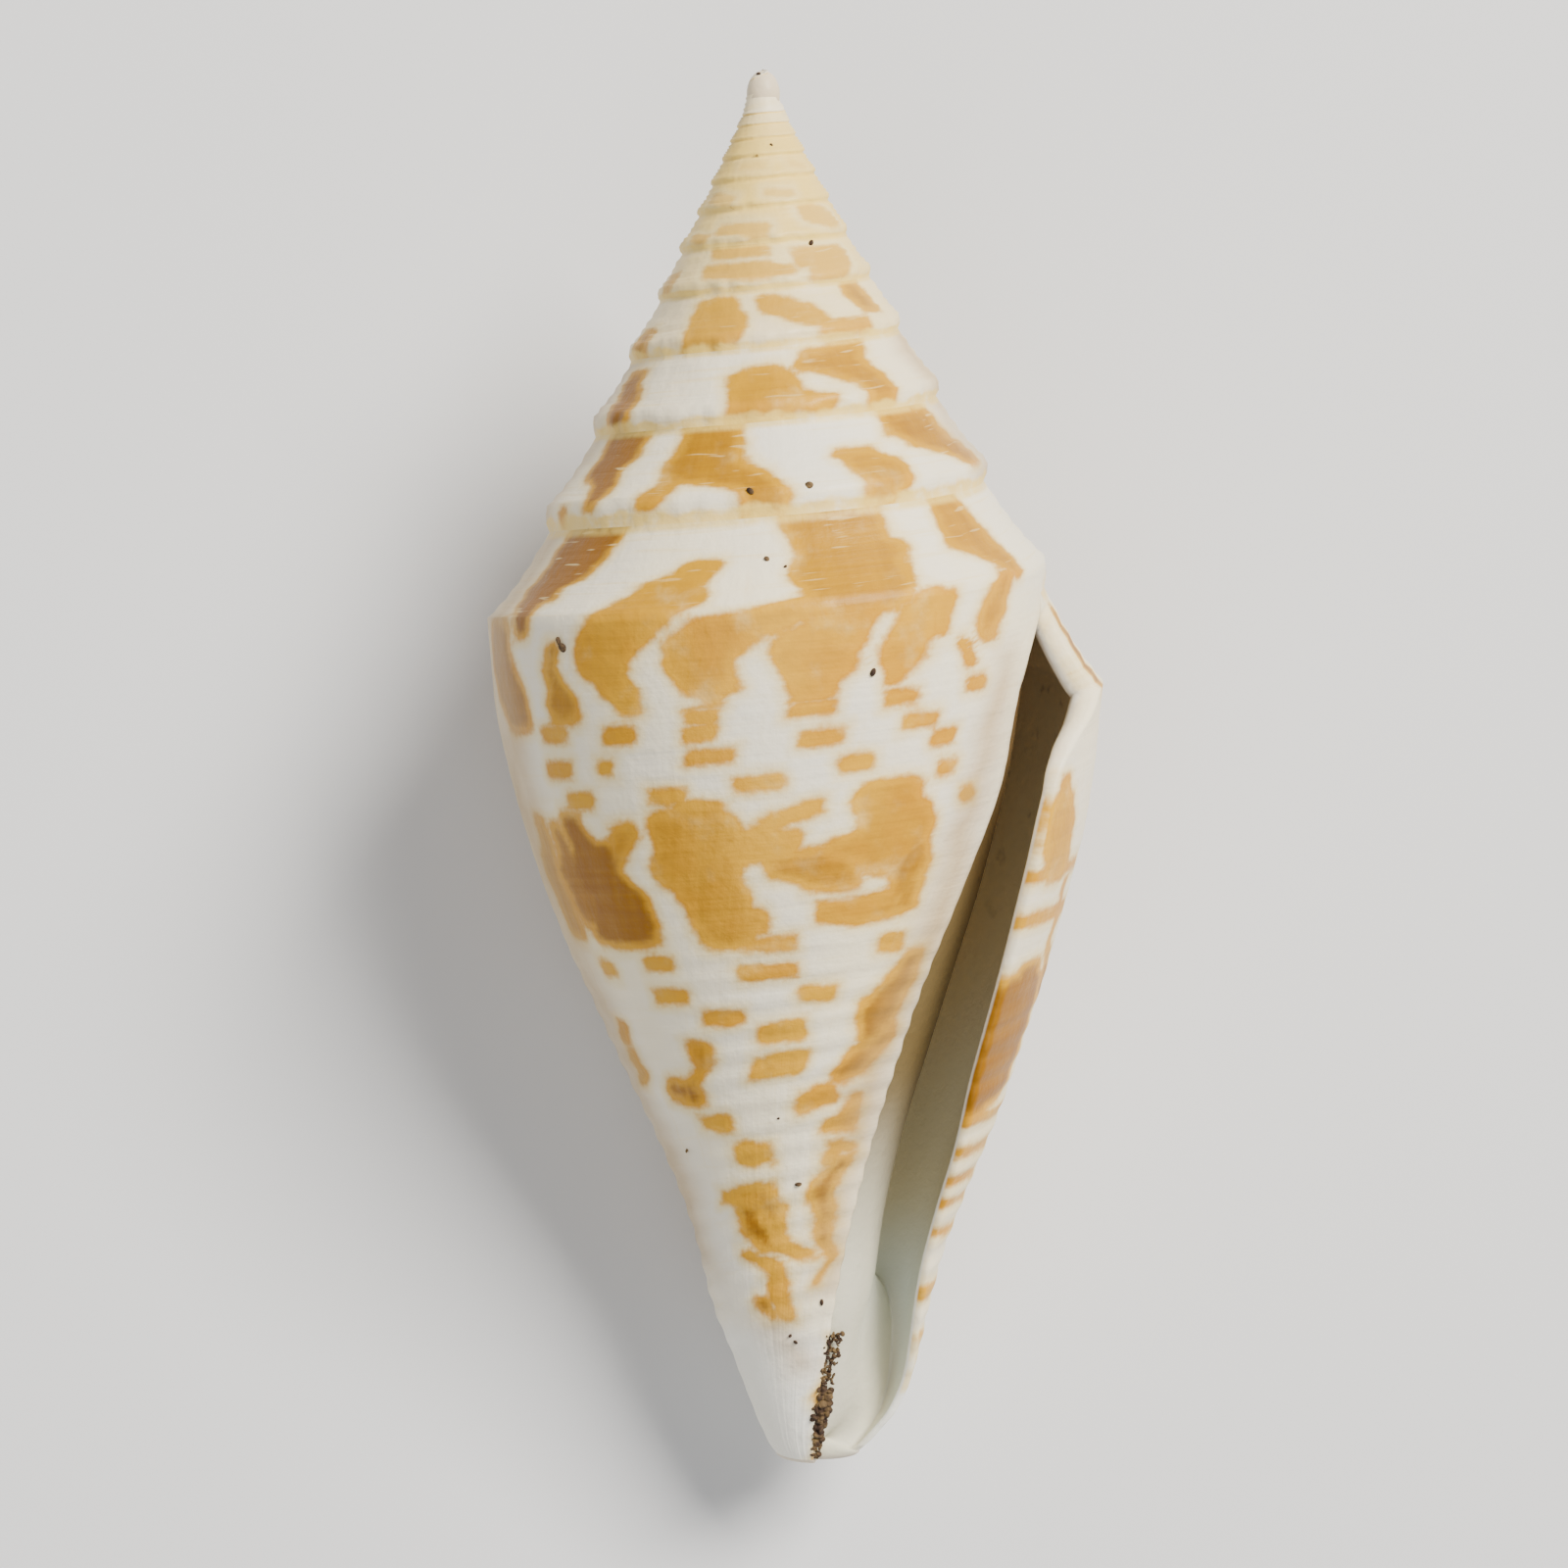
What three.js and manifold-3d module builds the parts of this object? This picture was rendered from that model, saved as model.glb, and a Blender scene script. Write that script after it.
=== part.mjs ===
// A tall-spired cone shell (family Conidae), lying on its back with its mouth up.
//
// The shell is one grown piece, so it is one closed solid. It grows along a spiral: `growth` is the
// angle, in radians, through which the lip has turned, from minus the whole number of turns at the tip
// of the spire to 0 at the lip of today. At each growth angle the whorl's section has a ramp, from the
// suture out to the shoulder, and a body, from the shoulder down to the narrow front end.
//
// The grown frame has the spire's tip at its origin, the axis along -Y, the outer lip at +X and the
// mouth facing +Z. `depth` is the distance from the tip along the axis, and `radius` that from the axis.

import * as THREE from 'three';
import { mergeVertices } from 'three/addons/utils/BufferGeometryUtils.js';
import Module from 'manifold-3d';

// Driving dimensions, in millimetres.
const LENGTH = 25; // from the spire's tip to where the body's outline ends and its worn front end begins
const SHOULDER_RADIUS = 6.14; // of the growth spiral at the lip
const FRONT_END = 1.036; // how far down the body the worn front end reaches, with the outline's end at 1
const WALL_AT_LIP = 0.34; // thickness of the lip's edge
const WALL_INSIDE = 0.62; // thickness of the outer wall deep in the mouth
const WALL_AT_SHOULDER = 1.2; // and what part of either it is at the shoulder
const WALL_AT_FRONT = 0.55; // and at the front end
const ROOF_WALL = 0.5; // thickness of the ramp above the mouth, along the axis
const ROOF_INSET = 0.4; // and how far its underside is drawn in under the shoulder
const INNER_STEP = 0.25; // how far the mouth's inner wall lies under the patterned layer
const HOLLOW_INSET = 0.75; // how much of the older whorl is dissolved, deep in the mouth
const WORN_FLAT = 0.1; // depth worn off the back where the shell lies on it

// Growth.
const TURN = 2 * Math.PI;
const WHORLS = 13; // turns from the tip to the lip
const WHORL_GROWTH = 1.2775; // ratio of one whorl's radius to that of the one before
const SPIRE_SCALE = 2.0; // shoulder depth = scale * radius ** power
const SPIRE_POWER = 0.946;
const SUTURE_DROP = 0.115; // each whorl covers the last one up to this part of its radius under its shoulder
const RAMP_HOLLOW = 0.35; // how concave the ramp is
const LAST_PINCH = 0.055; // by how much the last half turn grows narrower than the spiral
const PINCH_TURNS = 0.55; // over how much of a turn it does
const FILL_TURNS = 0.5; // over how much of a turn the body fills out to its shape at the lip
const AXIS_DRIFT = 0.028; // sideways drift of the axis towards the lip, per depth
const TIP_SWELL = 0.15; // how much the blunt first whorl swells past the spiral
const TIP_ROUND = 0.3; // power by which the first turn's radius starts from nothing
const TIP_STEEP = 1.4; // and its depth
const SUTURE_SHEER = 14; // degrees by which the suture runs ahead of the growth angle

// Outlines of the body, as [part of the way from the shoulder to the front end, value].
const EARLY_OUTLINE = [ // radius, as a part of the shoulder's, half a turn and more behind the lip
  [0, 1], [0.1, 0.988], [0.19, 0.945], [0.28, 0.885], [0.374, 0.8], [0.466, 0.696], [0.56, 0.585],
  [0.65, 0.478], [0.744, 0.39], [0.837, 0.333], [0.9, 0.272], [0.95, 0.226], [1, 0.172], [1.02, 0.142],
  [1.036, 0.085],
];
const LIP_OUTLINE = [ // the same at the lip, where the body is fuller
  [0, 1], [0.08, 0.985], [0.18, 0.945], [0.28, 0.88], [0.38, 0.803], [0.48, 0.717], [0.578, 0.628],
  [0.677, 0.52], [0.75, 0.447], [0.8255, 0.388], [0.88, 0.352], [0.925, 0.318], [0.965, 0.27], [1, 0.2],
  [1.02, 0.15], [1.036, 0.085],
];
const LIP_SHEER = [ // degrees by which the lip's edge runs ahead of the growth angle
  [0, 13], [0.03, 20], [0.06, 28], [0.1, 33], [0.2, 36], [0.33, 37.5], [0.486, 38.5], [0.62, 35.5],
  [0.765, 30], [0.86, 22], [0.93, 14], [1, 10],
];
const INNER_SHEER = [ // the same for the line where the mouth's inner wall begins
  [0, 14], [0.04, 14], [0.087, 21], [0.13, 27], [0.23, 30], [0.325, 38], [0.467, 48.5], [0.686, 61],
  [0.817, 73], [0.9, 80], [1, 93],
];

// How it lies, in degrees: the tip raised, then the whole turned about the line it lies along. It rests
// on the worn flat on its back, which lies straight under its centre of mass.
const REST_TILT = 11.9;
const REST_ROLL = -2.34;

// How finely the solid is cut.
const STEPS = 36; // columns in a turn
const RAMP_ROWS = 3;
const BODY_ROWS = 18;
const HOLLOW_TURNS = 0.9; // how far the hollow goes in from the mouth
const HOLLOW_STEPS = 34;
const HOLLOW_ROWS = 16;
const HOLLOW_EASE = 0.3; // turns over which the hollow takes its inner shape
const CANAL_EASE = 70; // degrees over which its lowest point rises from the front end
const CANAL_LOWEST = 0.8; // and how far down the body that point then lies
const ROOF_PLACES = [0.3, 0.8]; // where on the ramp the roof's points lie
const OUTER_FROM = 0.07; // where down the body the hollow's outer wall begins
const INNER_FROM = 0.09; // and its inner wall
const PAST_MOUTH = [0.15, 0.04, 0.3]; // how far the cut runs past the mouth: two turns, in radians, and a rise
const PAST_FRONT = 0.03; // and past the front end, as a part of the body
const LIP_BLEND = 100; // degrees of growth over which the columns lean into the lip's edge
const EDGE_BLEND = 180; // degrees of growth over which they leave the mouth's inner edge

const radians = THREE.MathUtils.degToRad;
const lerp = THREE.MathUtils.lerp;

/** Goes smoothly from 0 to 1 as x does. */
function ease(x) {
  return THREE.MathUtils.smoothstep(x, 0, 1);
}

/** The value at x of a smooth curve through points that rises and falls only where they do. */
function curveAt(points, x) {
  const slopes = points.slice(1).map(([px, py], i) => (py - points[i][1]) / (px - points[i][0]));
  const tangent = (i) => {
    if (i === 0) return slopes[0];
    if (i === slopes.length) return slopes[i - 1];
    const product = slopes[i - 1] * slopes[i];
    return product <= 0 ? 0 : (2 * product) / (slopes[i - 1] + slopes[i]);
  };
  const last = points.length - 1;
  const at = THREE.MathUtils.clamp(x, points[0][0], points[last][0]);
  const found = points.findIndex(([px]) => px > at);
  const i = (found < 0 ? last : found) - 1;
  const width = points[i + 1][0] - points[i][0];
  const t = (at - points[i][0]) / width;
  const rise = t * t * (3 - 2 * t);
  const bend = t * (1 - t) * width;
  return lerp(points[i][1], points[i + 1][1], rise) + bend * ((1 - t) * tangent(i) - t * tangent(i + 1));
}

/** Radius and depth of the shoulder. */
function shoulder(growth) {
  const young = THREE.MathUtils.clamp(growth / TURN + WHORLS, 0, 1);
  const radius = SHOULDER_RADIUS * WHORL_GROWTH ** (growth / TURN);
  const late = ease(1 + growth / (PINCH_TURNS * TURN));
  return {
    radius: Math.hypot(radius, TIP_SWELL) * young ** TIP_ROUND * (1 - LAST_PINCH * late),
    depth: SPIRE_SCALE * radius ** SPIRE_POWER * young ** TIP_STEEP,
  };
}

/** How far down the body the next whorl's suture runs. */
function sutureAt(growth) {
  const { radius, depth } = shoulder(growth);
  return (SUTURE_DROP * radius) / (LENGTH - depth);
}

/** Radius and depth on the body, `down` going from 0 at the shoulder to FRONT_END. */
function body(growth, down) {
  const { radius, depth } = shoulder(growth);
  const late = ease(1 + growth / (FILL_TURNS * TURN));
  const part = lerp(curveAt(EARLY_OUTLINE, down), curveAt(LIP_OUTLINE, down), late);
  return { radius: radius * part, depth: depth + down * (LENGTH - depth) };
}

/** Radius and depth on the ramp, `out` going from 0 at the suture to 1 at the shoulder. */
function ramp(growth, out) {
  const edge = shoulder(growth);
  const older = growth - TURN;
  const inner = older < -WHORLS * TURN ? { radius: 0, depth: 0 } : body(older, sutureAt(older));
  return {
    radius: lerp(inner.radius, edge.radius, out),
    depth: lerp(inner.depth, edge.depth, out + RAMP_HOLLOW * out * (1 - out)),
  };
}

/** Radians by which the grid's columns run ahead of the growth angle on the body. */
function bodySheer(growth, down) {
  const nearLip = ease(1 + growth / radians(LIP_BLEND));
  const nearEdge = ease(1 - (growth + TURN) / radians(EDGE_BLEND));
  const edge = lerp(SUTURE_SHEER, curveAt(INNER_SHEER, down), nearEdge);
  return radians(lerp(edge, curveAt(LIP_SHEER, down), nearLip));
}

/** The same on the ramp. */
function rampSheer(growth, out) {
  return lerp(radians(SUTURE_SHEER), bodySheer(growth, 0), out);
}

/** A point of the grown frame. */
function place(azimuth, { radius, depth }) {
  const x = radius * Math.cos(azimuth) + AXIS_DRIFT * depth;
  return new THREE.Vector3(x, -depth, radius * Math.sin(azimuth));
}

/** A mesh under construction: points in a list, and triangles between them. */
class Facets {
  constructor() {
    this.points = [];
    this.triangles = [];
  }

  add(point) {
    this.points.push(point);
    return this.points.length - 1;
  }

  triangle(a, b, c) {
    if (a !== b && b !== c && c !== a) this.triangles.push(a, b, c);
  }

  quad(a, b, c, d) {
    this.triangle(a, b, c);
    this.triangle(a, c, d);
  }

  /** Joins two rows of points that have the same count. */
  strip(first, second) {
    for (let i = 0; i + 1 < first.length; i += 1) {
      this.quad(first[i], second[i], second[i + 1], first[i + 1]);
    }
  }

  solid(wasm) {
    const geometry = new THREE.BufferGeometry().setFromPoints(this.points);
    geometry.setIndex(this.triangles);
    const merged = mergeVertices(geometry, 1e-4);
    const vertProperties = new Float32Array(merged.getAttribute('position').array);
    const triVerts = new Uint32Array(merged.index.array);
    return new wasm.Manifold(new wasm.Mesh({ numProp: 3, vertProperties, triVerts }));
  }
}

/** One column of the outside: the ramp's points, then the body's down to `rows` places below the suture. */
function addColumn(facets, columns, index, rows) {
  const growth = TURN * (index / STEPS - WHORLS);
  if (index === 0) return new Array(RAMP_ROWS + 2).fill(columns.tip);
  const column = [index < STEPS ? columns.tip : columns[index - STEPS][RAMP_ROWS + 1]];
  for (let row = 1; row <= RAMP_ROWS; row += 1) {
    const out = row / RAMP_ROWS;
    column.push(facets.add(place(growth + rampSheer(growth, out), ramp(growth, out))));
  }
  const suture = sutureAt(growth);
  const shared = index <= (WHORLS - 1) * STEPS;
  const lean = shared ? radians(SUTURE_SHEER) : bodySheer(growth, suture);
  column.push(facets.add(place(growth + lean, body(growth, suture))));
  for (let row = 1; row <= rows; row += 1) {
    const down = lerp(suture, FRONT_END, row / rows);
    column.push(facets.add(place(growth + bodySheer(growth, down), body(growth, down))));
  }
  return column;
}

/** The whole shell as a solid, with the mouth closed by a face from its inner edge to the lip. */
function outside(wasm) {
  const facets = new Facets();
  const columns = [];
  columns.tip = facets.add(new THREE.Vector3(0, 0, 0));
  const lastTurn = (WHORLS - 1) * STEPS;
  for (let index = 0; index <= WHORLS * STEPS; index += 1) {
    columns.push(addColumn(facets, columns, index, index < lastTurn ? 0 : BODY_ROWS));
  }
  for (let index = 0; index < WHORLS * STEPS; index += 1) {
    const rows = index < lastTurn ? RAMP_ROWS + 2 : RAMP_ROWS + 2 + BODY_ROWS;
    facets.strip(columns[index].slice(0, rows), columns[index + 1].slice(0, rows));
  }
  const edge = columns[lastTurn].slice(RAMP_ROWS + 1);
  const lip = columns[WHORLS * STEPS];
  for (let row = 0; row <= RAMP_ROWS; row += 1) facets.triangle(edge[0], lip[row + 1], lip[row]);
  facets.strip(lip.slice(RAMP_ROWS + 1), edge);
  const front = facets.add(place(0, { radius: 0, depth: body(0, FRONT_END).depth }));
  const ring = columns.slice(lastTurn).map((column) => column[column.length - 1]);
  ring.push(ring[0]);
  for (let i = 0; i + 1 < ring.length; i += 1) facets.triangle(ring[i], ring[i + 1], front);
  return facets.solid(wasm);
}

/**
 * One closed section of the hollow: down its outer wall, then back up its inner wall. `past` turns the
 * last section on and out, clear of the face that closes the mouth, by [outer turn, inner turn, rise].
 */
function hollowSection(growth, past = [0, 0, 0]) {
  const [outerTurn, innerTurn, rise] = past;
  const inside = ease(-growth / (HOLLOW_EASE * TURN));
  const lowest = lerp(FRONT_END + PAST_FRONT, CANAL_LOWEST, ease(-growth / radians(CANAL_EASE)));
  const wall = lerp(WALL_AT_LIP, WALL_INSIDE, inside);
  const section = [];
  for (const out of ROOF_PLACES) {
    const { radius, depth } = ramp(growth, out);
    const azimuth = growth + lerp(innerTurn, outerTurn, out) + rampSheer(0, out);
    section.push(place(azimuth, { radius: radius - ROOF_INSET * out, depth: depth + ROOF_WALL }));
  }
  for (let row = 0; row < HOLLOW_ROWS; row += 1) {
    const down = lerp(OUTER_FROM, lowest, row / (HOLLOW_ROWS - 1));
    const { radius, depth } = body(growth, down);
    const inset = wall * lerp(WALL_AT_SHOULDER, WALL_AT_FRONT, ease(down)) - rise;
    section.push(place(growth + outerTurn + bodySheer(0, down), { radius: radius - inset, depth }));
  }
  for (let row = HOLLOW_ROWS; row >= 0; row -= 1) {
    const down = lerp(INNER_FROM, lowest, row / HOLLOW_ROWS);
    const { radius, depth } = body(growth - TURN, down);
    const inset = INNER_STEP + HOLLOW_INSET * inside * (radius / SHOULDER_RADIUS) - rise;
    section.push(place(growth + innerTurn + bodySheer(-TURN, down), { radius: radius - inset, depth }));
  }
  return section;
}

/** The hollow behind the mouth, as a solid to cut away. */
function hollow(wasm) {
  const facets = new Facets();
  const rings = [];
  for (let step = 0; step <= HOLLOW_STEPS; step += 1) {
    rings.push(hollowSection(-HOLLOW_TURNS * TURN * (1 - step / HOLLOW_STEPS)));
  }
  rings.push(hollowSection(0, PAST_MOUTH));
  const sections = rings.map((ring) => {
    const added = ring.map((point) => facets.add(point));
    return [...added, added[0]];
  });
  for (let step = 0; step <= HOLLOW_STEPS; step += 1) facets.strip(sections[step], sections[step + 1]);
  for (const [ring, flipped] of [[sections[0], true], [sections[HOLLOW_STEPS + 1], false]]) {
    const outer = ring.slice(0, HOLLOW_ROWS + 2);
    const inner = ring.slice(HOLLOW_ROWS + 2, -1).reverse();
    const pairs = inner.length;
    const across = [];
    for (let i = 0; i + 1 < pairs; i += 1) across.push([outer[i], inner[i], inner[i + 1], outer[i + 1]]);
    across.push([outer[pairs - 1], inner[pairs - 1], inner[pairs - 1], outer[pairs]]);
    for (const [a, b, c, d] of across) {
      if (flipped) facets.quad(d, c, b, a);
      else facets.quad(a, b, c, d);
    }
  }
  return facets.solid(wasm);
}

/** Turns the shell from the grown frame to where it lies, and wears a flat where it meets the ground. */
function lay(solid) {
  const turned = solid.rotate([REST_TILT, REST_ROLL, 0]);
  return turned.trimByPlane([0, 0, 1], turned.boundingBox().min[2] + WORN_FLAT);
}

const wasm = await Module();
wasm.setup();

const mesh = lay(outside(wasm).subtract(hollow(wasm))).getMesh();
const geometry = new THREE.BufferGeometry();
geometry.setAttribute('position', new THREE.BufferAttribute(mesh.vertProperties, 3));
geometry.setIndex(new THREE.BufferAttribute(mesh.triVerts, 1));
geometry.computeBoundingBox();
const centre = geometry.boundingBox.getCenter(new THREE.Vector3());
geometry.translate(-centre.x, -centre.y, -geometry.boundingBox.min.z);
geometry.computeVertexNormals();

const material = new THREE.MeshStandardMaterial({ color: 0xe2cfa8, roughness: 0.42, metalness: 0 });
const shell = new THREE.Mesh(geometry, material);
shell.name = 'shell';

const group = new THREE.Group();
group.add(shell);

export default group;
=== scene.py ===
"""A tall-spired cone shell, dressed: its sculpture, its brown flames and dashes, its worn lip and dirt."""

import logging
import math
from dataclasses import dataclass, field

import bpy
import numpy as np
from mathutils import Matrix, Vector


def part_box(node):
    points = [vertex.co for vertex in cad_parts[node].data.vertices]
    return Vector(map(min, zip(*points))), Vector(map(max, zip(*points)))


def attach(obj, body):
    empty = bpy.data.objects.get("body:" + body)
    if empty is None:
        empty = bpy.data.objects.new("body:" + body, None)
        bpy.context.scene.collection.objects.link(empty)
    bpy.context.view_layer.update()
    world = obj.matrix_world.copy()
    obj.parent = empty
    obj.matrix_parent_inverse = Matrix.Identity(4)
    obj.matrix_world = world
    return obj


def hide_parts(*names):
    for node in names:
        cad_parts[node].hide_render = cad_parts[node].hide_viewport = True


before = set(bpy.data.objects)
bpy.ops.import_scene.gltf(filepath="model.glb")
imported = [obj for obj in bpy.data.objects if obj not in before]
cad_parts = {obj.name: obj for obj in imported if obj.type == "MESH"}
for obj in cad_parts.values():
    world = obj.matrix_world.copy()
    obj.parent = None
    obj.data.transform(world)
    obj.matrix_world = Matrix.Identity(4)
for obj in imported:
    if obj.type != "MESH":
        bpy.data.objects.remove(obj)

LOG = logging.getLogger("cone_shell")
MM = 0.001
TURN = 2.0 * math.pi
Outline = tuple[tuple[float, float], ...]
Path = tuple[tuple[float, float, float], ...]


def ease(x: np.ndarray | float) -> np.ndarray:
    """Goes smoothly from 0 to 1 as x does."""
    x = np.clip(x, 0.0, 1.0)
    return x * x * (3.0 - 2.0 * x)


def mix(a: np.ndarray | float, b: np.ndarray | float, part: np.ndarray | float) -> np.ndarray:
    """The value that lies `part` of the way from a to b."""
    return a + (b - a) * part


def curve_at(outline: Outline, x: np.ndarray | float) -> np.ndarray:
    """Reads a smooth curve that rises and falls only where its points do.

    Args:
        outline: The curve's points, in order.
        x: Where to read it.

    Returns:
        The curve's value at each x.
    """
    xs, ys = np.array(outline, float).T
    slopes = np.diff(ys) / np.diff(xs)
    product = slopes[:-1] * slopes[1:]
    total = np.where(product > 0.0, slopes[:-1] + slopes[1:], 1.0)
    inner = np.where(product > 0.0, 2.0 * product / total, 0.0)
    tangents = np.concatenate([slopes[:1], inner, slopes[-1:]])
    x = np.clip(x, xs[0], xs[-1])
    i = np.clip(np.searchsorted(xs, x, side="right") - 1, 0, len(xs) - 2)
    width = xs[i + 1] - xs[i]
    t = (x - xs[i]) / width
    bend = t * (1.0 - t) * width
    return mix(ys[i], ys[i + 1], ease(t)) + bend * ((1.0 - t) * tangents[i] - t * tangents[i + 1])


@dataclass(frozen=True)
class Growth:
    """The rule the shell grows by, in millimetres, as the solid model has it.

    `growth` is the angle the lip has turned through, in radians, 0 at the lip of today. `down` goes from
    0 at the shoulder to `front_end`, and `out` from 0 at the suture to 1 at the shoulder.
    """

    length: float = 25.0
    front_end: float = 1.036
    shoulder_radius: float = 6.14
    whorls: int = 13
    whorl_growth: float = 1.2775
    spire_scale: float = 2.0
    spire_power: float = 0.946
    suture_drop: float = 0.115
    ramp_hollow: float = 0.35
    last_pinch: float = 0.055
    pinch_turns: float = 0.55
    fill_turns: float = 0.5
    tip_round: float = 0.3
    tip_steep: float = 1.4
    axis_drift: float = 0.028
    suture_sheer: float = 14.0
    tip_swell: float = 0.15
    lip_blend: float = 100.0
    edge_blend: float = 180.0
    early_outline: Outline = (
        (0.0, 1.0), (0.1, 0.988), (0.19, 0.945), (0.28, 0.885), (0.374, 0.8), (0.466, 0.696),
        (0.56, 0.585), (0.65, 0.478), (0.744, 0.39), (0.837, 0.333), (0.9, 0.272), (0.95, 0.226),
        (1.0, 0.172), (1.02, 0.142), (1.036, 0.085),
    )
    lip_outline: Outline = (
        (0.0, 1.0), (0.08, 0.985), (0.18, 0.945), (0.28, 0.88), (0.38, 0.803), (0.48, 0.717),
        (0.578, 0.628), (0.677, 0.52), (0.75, 0.447), (0.8255, 0.388), (0.88, 0.352), (0.925, 0.318),
        (0.965, 0.27), (1.0, 0.2), (1.02, 0.15), (1.036, 0.085),
    )
    lip_sheer: Outline = (
        (0.0, 13.0), (0.03, 20.0), (0.06, 28.0), (0.1, 33.0), (0.2, 36.0), (0.33, 37.5), (0.486, 38.5),
        (0.62, 35.5), (0.765, 30.0), (0.86, 22.0), (0.93, 14.0), (1.0, 10.0),
    )
    inner_sheer: Outline = (
        (0.0, 14.0), (0.04, 14.0), (0.087, 21.0), (0.13, 27.0), (0.23, 30.0), (0.325, 38.0),
        (0.467, 48.5), (0.686, 61.0), (0.817, 73.0), (0.9, 80.0), (1.0, 93.0),
    )

    def shoulder(self, growth: np.ndarray) -> tuple[np.ndarray, np.ndarray]:
        """Radius and depth of the shoulder."""
        young = np.clip(growth / TURN + self.whorls, 0.0, 1.0)
        radius = self.shoulder_radius * self.whorl_growth ** (growth / TURN)
        late = ease(1.0 + growth / (self.pinch_turns * TURN))
        swollen = np.hypot(radius, self.tip_swell) * young**self.tip_round
        depth = self.spire_scale * radius**self.spire_power * young**self.tip_steep
        return swollen * (1.0 - self.last_pinch * late), depth

    def suture_at(self, growth: np.ndarray) -> np.ndarray:
        """How far down the body the next whorl's suture runs."""
        radius, depth = self.shoulder(growth)
        return self.suture_drop * radius / (self.length - depth)

    def body(self, growth: np.ndarray, down: np.ndarray) -> tuple[np.ndarray, np.ndarray]:
        """Radius and depth of a point on the body."""
        radius, depth = self.shoulder(growth)
        late = ease(1.0 + growth / (self.fill_turns * TURN))
        part = mix(curve_at(self.early_outline, down), curve_at(self.lip_outline, down), late)
        return radius * part, depth + down * (self.length - depth)

    def ramp(self, growth: np.ndarray, out: np.ndarray) -> tuple[np.ndarray, np.ndarray]:
        """Radius and depth of a point on the ramp."""
        radius, depth = self.shoulder(growth)
        older = np.maximum(growth - TURN, -self.whorls * TURN)
        inner_radius, inner_depth = self.body(older, self.suture_at(older))
        return (
            mix(inner_radius, radius, out),
            mix(inner_depth, depth, out + self.ramp_hollow * out * (1.0 - out)),
        )

    def body_sheer(self, growth: np.ndarray, down: np.ndarray) -> np.ndarray:
        """Radians by which a point on the body runs ahead of its growth angle."""
        near_lip = ease(1.0 + growth / math.radians(self.lip_blend))
        near_edge = ease(1.0 - (growth + TURN) / math.radians(self.edge_blend))
        edge = mix(self.suture_sheer, curve_at(self.inner_sheer, down), near_edge)
        return np.radians(mix(edge, curve_at(self.lip_sheer, down), near_lip))

    def ramp_sheer(self, growth: np.ndarray, out: np.ndarray) -> np.ndarray:
        """The same on the ramp."""
        return mix(math.radians(self.suture_sheer), self.body_sheer(growth, 0.0 * out), out)

    def place(self, azimuth: np.ndarray, radius: np.ndarray, depth: np.ndarray) -> np.ndarray:
        """A point of the grown frame, with the spire's tip at the origin and the mouth facing +Z."""
        x = radius * np.cos(azimuth) + self.axis_drift * depth
        return np.stack(np.broadcast_arrays(x, -depth, radius * np.sin(azimuth)), axis=-1)


@dataclass(frozen=True)
class Resting:
    """How the shell lies: the tip raised, then the whole turned about the line it lies along."""

    tilt: float = 11.9
    roll: float = -2.34
    worn: float = 0.1

    def turned(self) -> Matrix:
        """The turn from the grown frame to the way it lies."""
        raised = Matrix.Rotation(math.radians(self.tilt), 3, "X")
        return Matrix.Rotation(math.radians(self.roll), 3, "Y") @ raised

    def shift(self, points: np.ndarray, low: Vector, high: Vector) -> Vector:
        """The move, in metres, that puts the turned points into the solid's box.

        Args:
            points: All the shell's points in the grown frame, in millimetres.
            low: The box's lowest corner.
            high: The box's highest corner.

        Returns:
            The move to make after the turn.
        """
        turned = points @ np.array(self.turned()).T * MM
        middle = (turned.min(axis=0) + turned.max(axis=0)) / 2.0
        centre = (low + high) / 2.0
        up = low.z - turned[:, 2].min() - self.worn * MM
        return Vector((centre.x - middle[0], centre.y - middle[1], up))


@dataclass(frozen=True)
class Stroke:
    """One brown mark, as the stroke of a round brush over the whorls.

    Attributes:
        path: Where the brush goes: its angle about the axis in degrees, its place across the whorl, as
            `down` on the body and `out` - 1 on the ramp, and its width in millimetres.
        whorl: How many whorls before the last one it lies.
        dark: How dark it is, from 0 to 1.
    """

    path: Path
    dark: float = 0.3
    whorl: int = 0

    @staticmethod
    def dash(azimuth: float, down: float, length: float, height: float, dark: float = 0.3) -> "Stroke":
        """A dash that runs along the whorl, at about the body's own radius.

        Args:
            azimuth: Where its middle is, in degrees.
            down: Where it lies across the body.
            length: Its length, in millimetres.
            height: Its height, in millimetres.
            dark: How dark it is.

        Returns:
            The stroke.
        """
        half = math.degrees(max(length - height, 0.02) / 2.0 / (6.0 - 4.8 * down))
        return Stroke(((azimuth - half, down, height), (azimuth + half, down, height)), dark)


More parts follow.
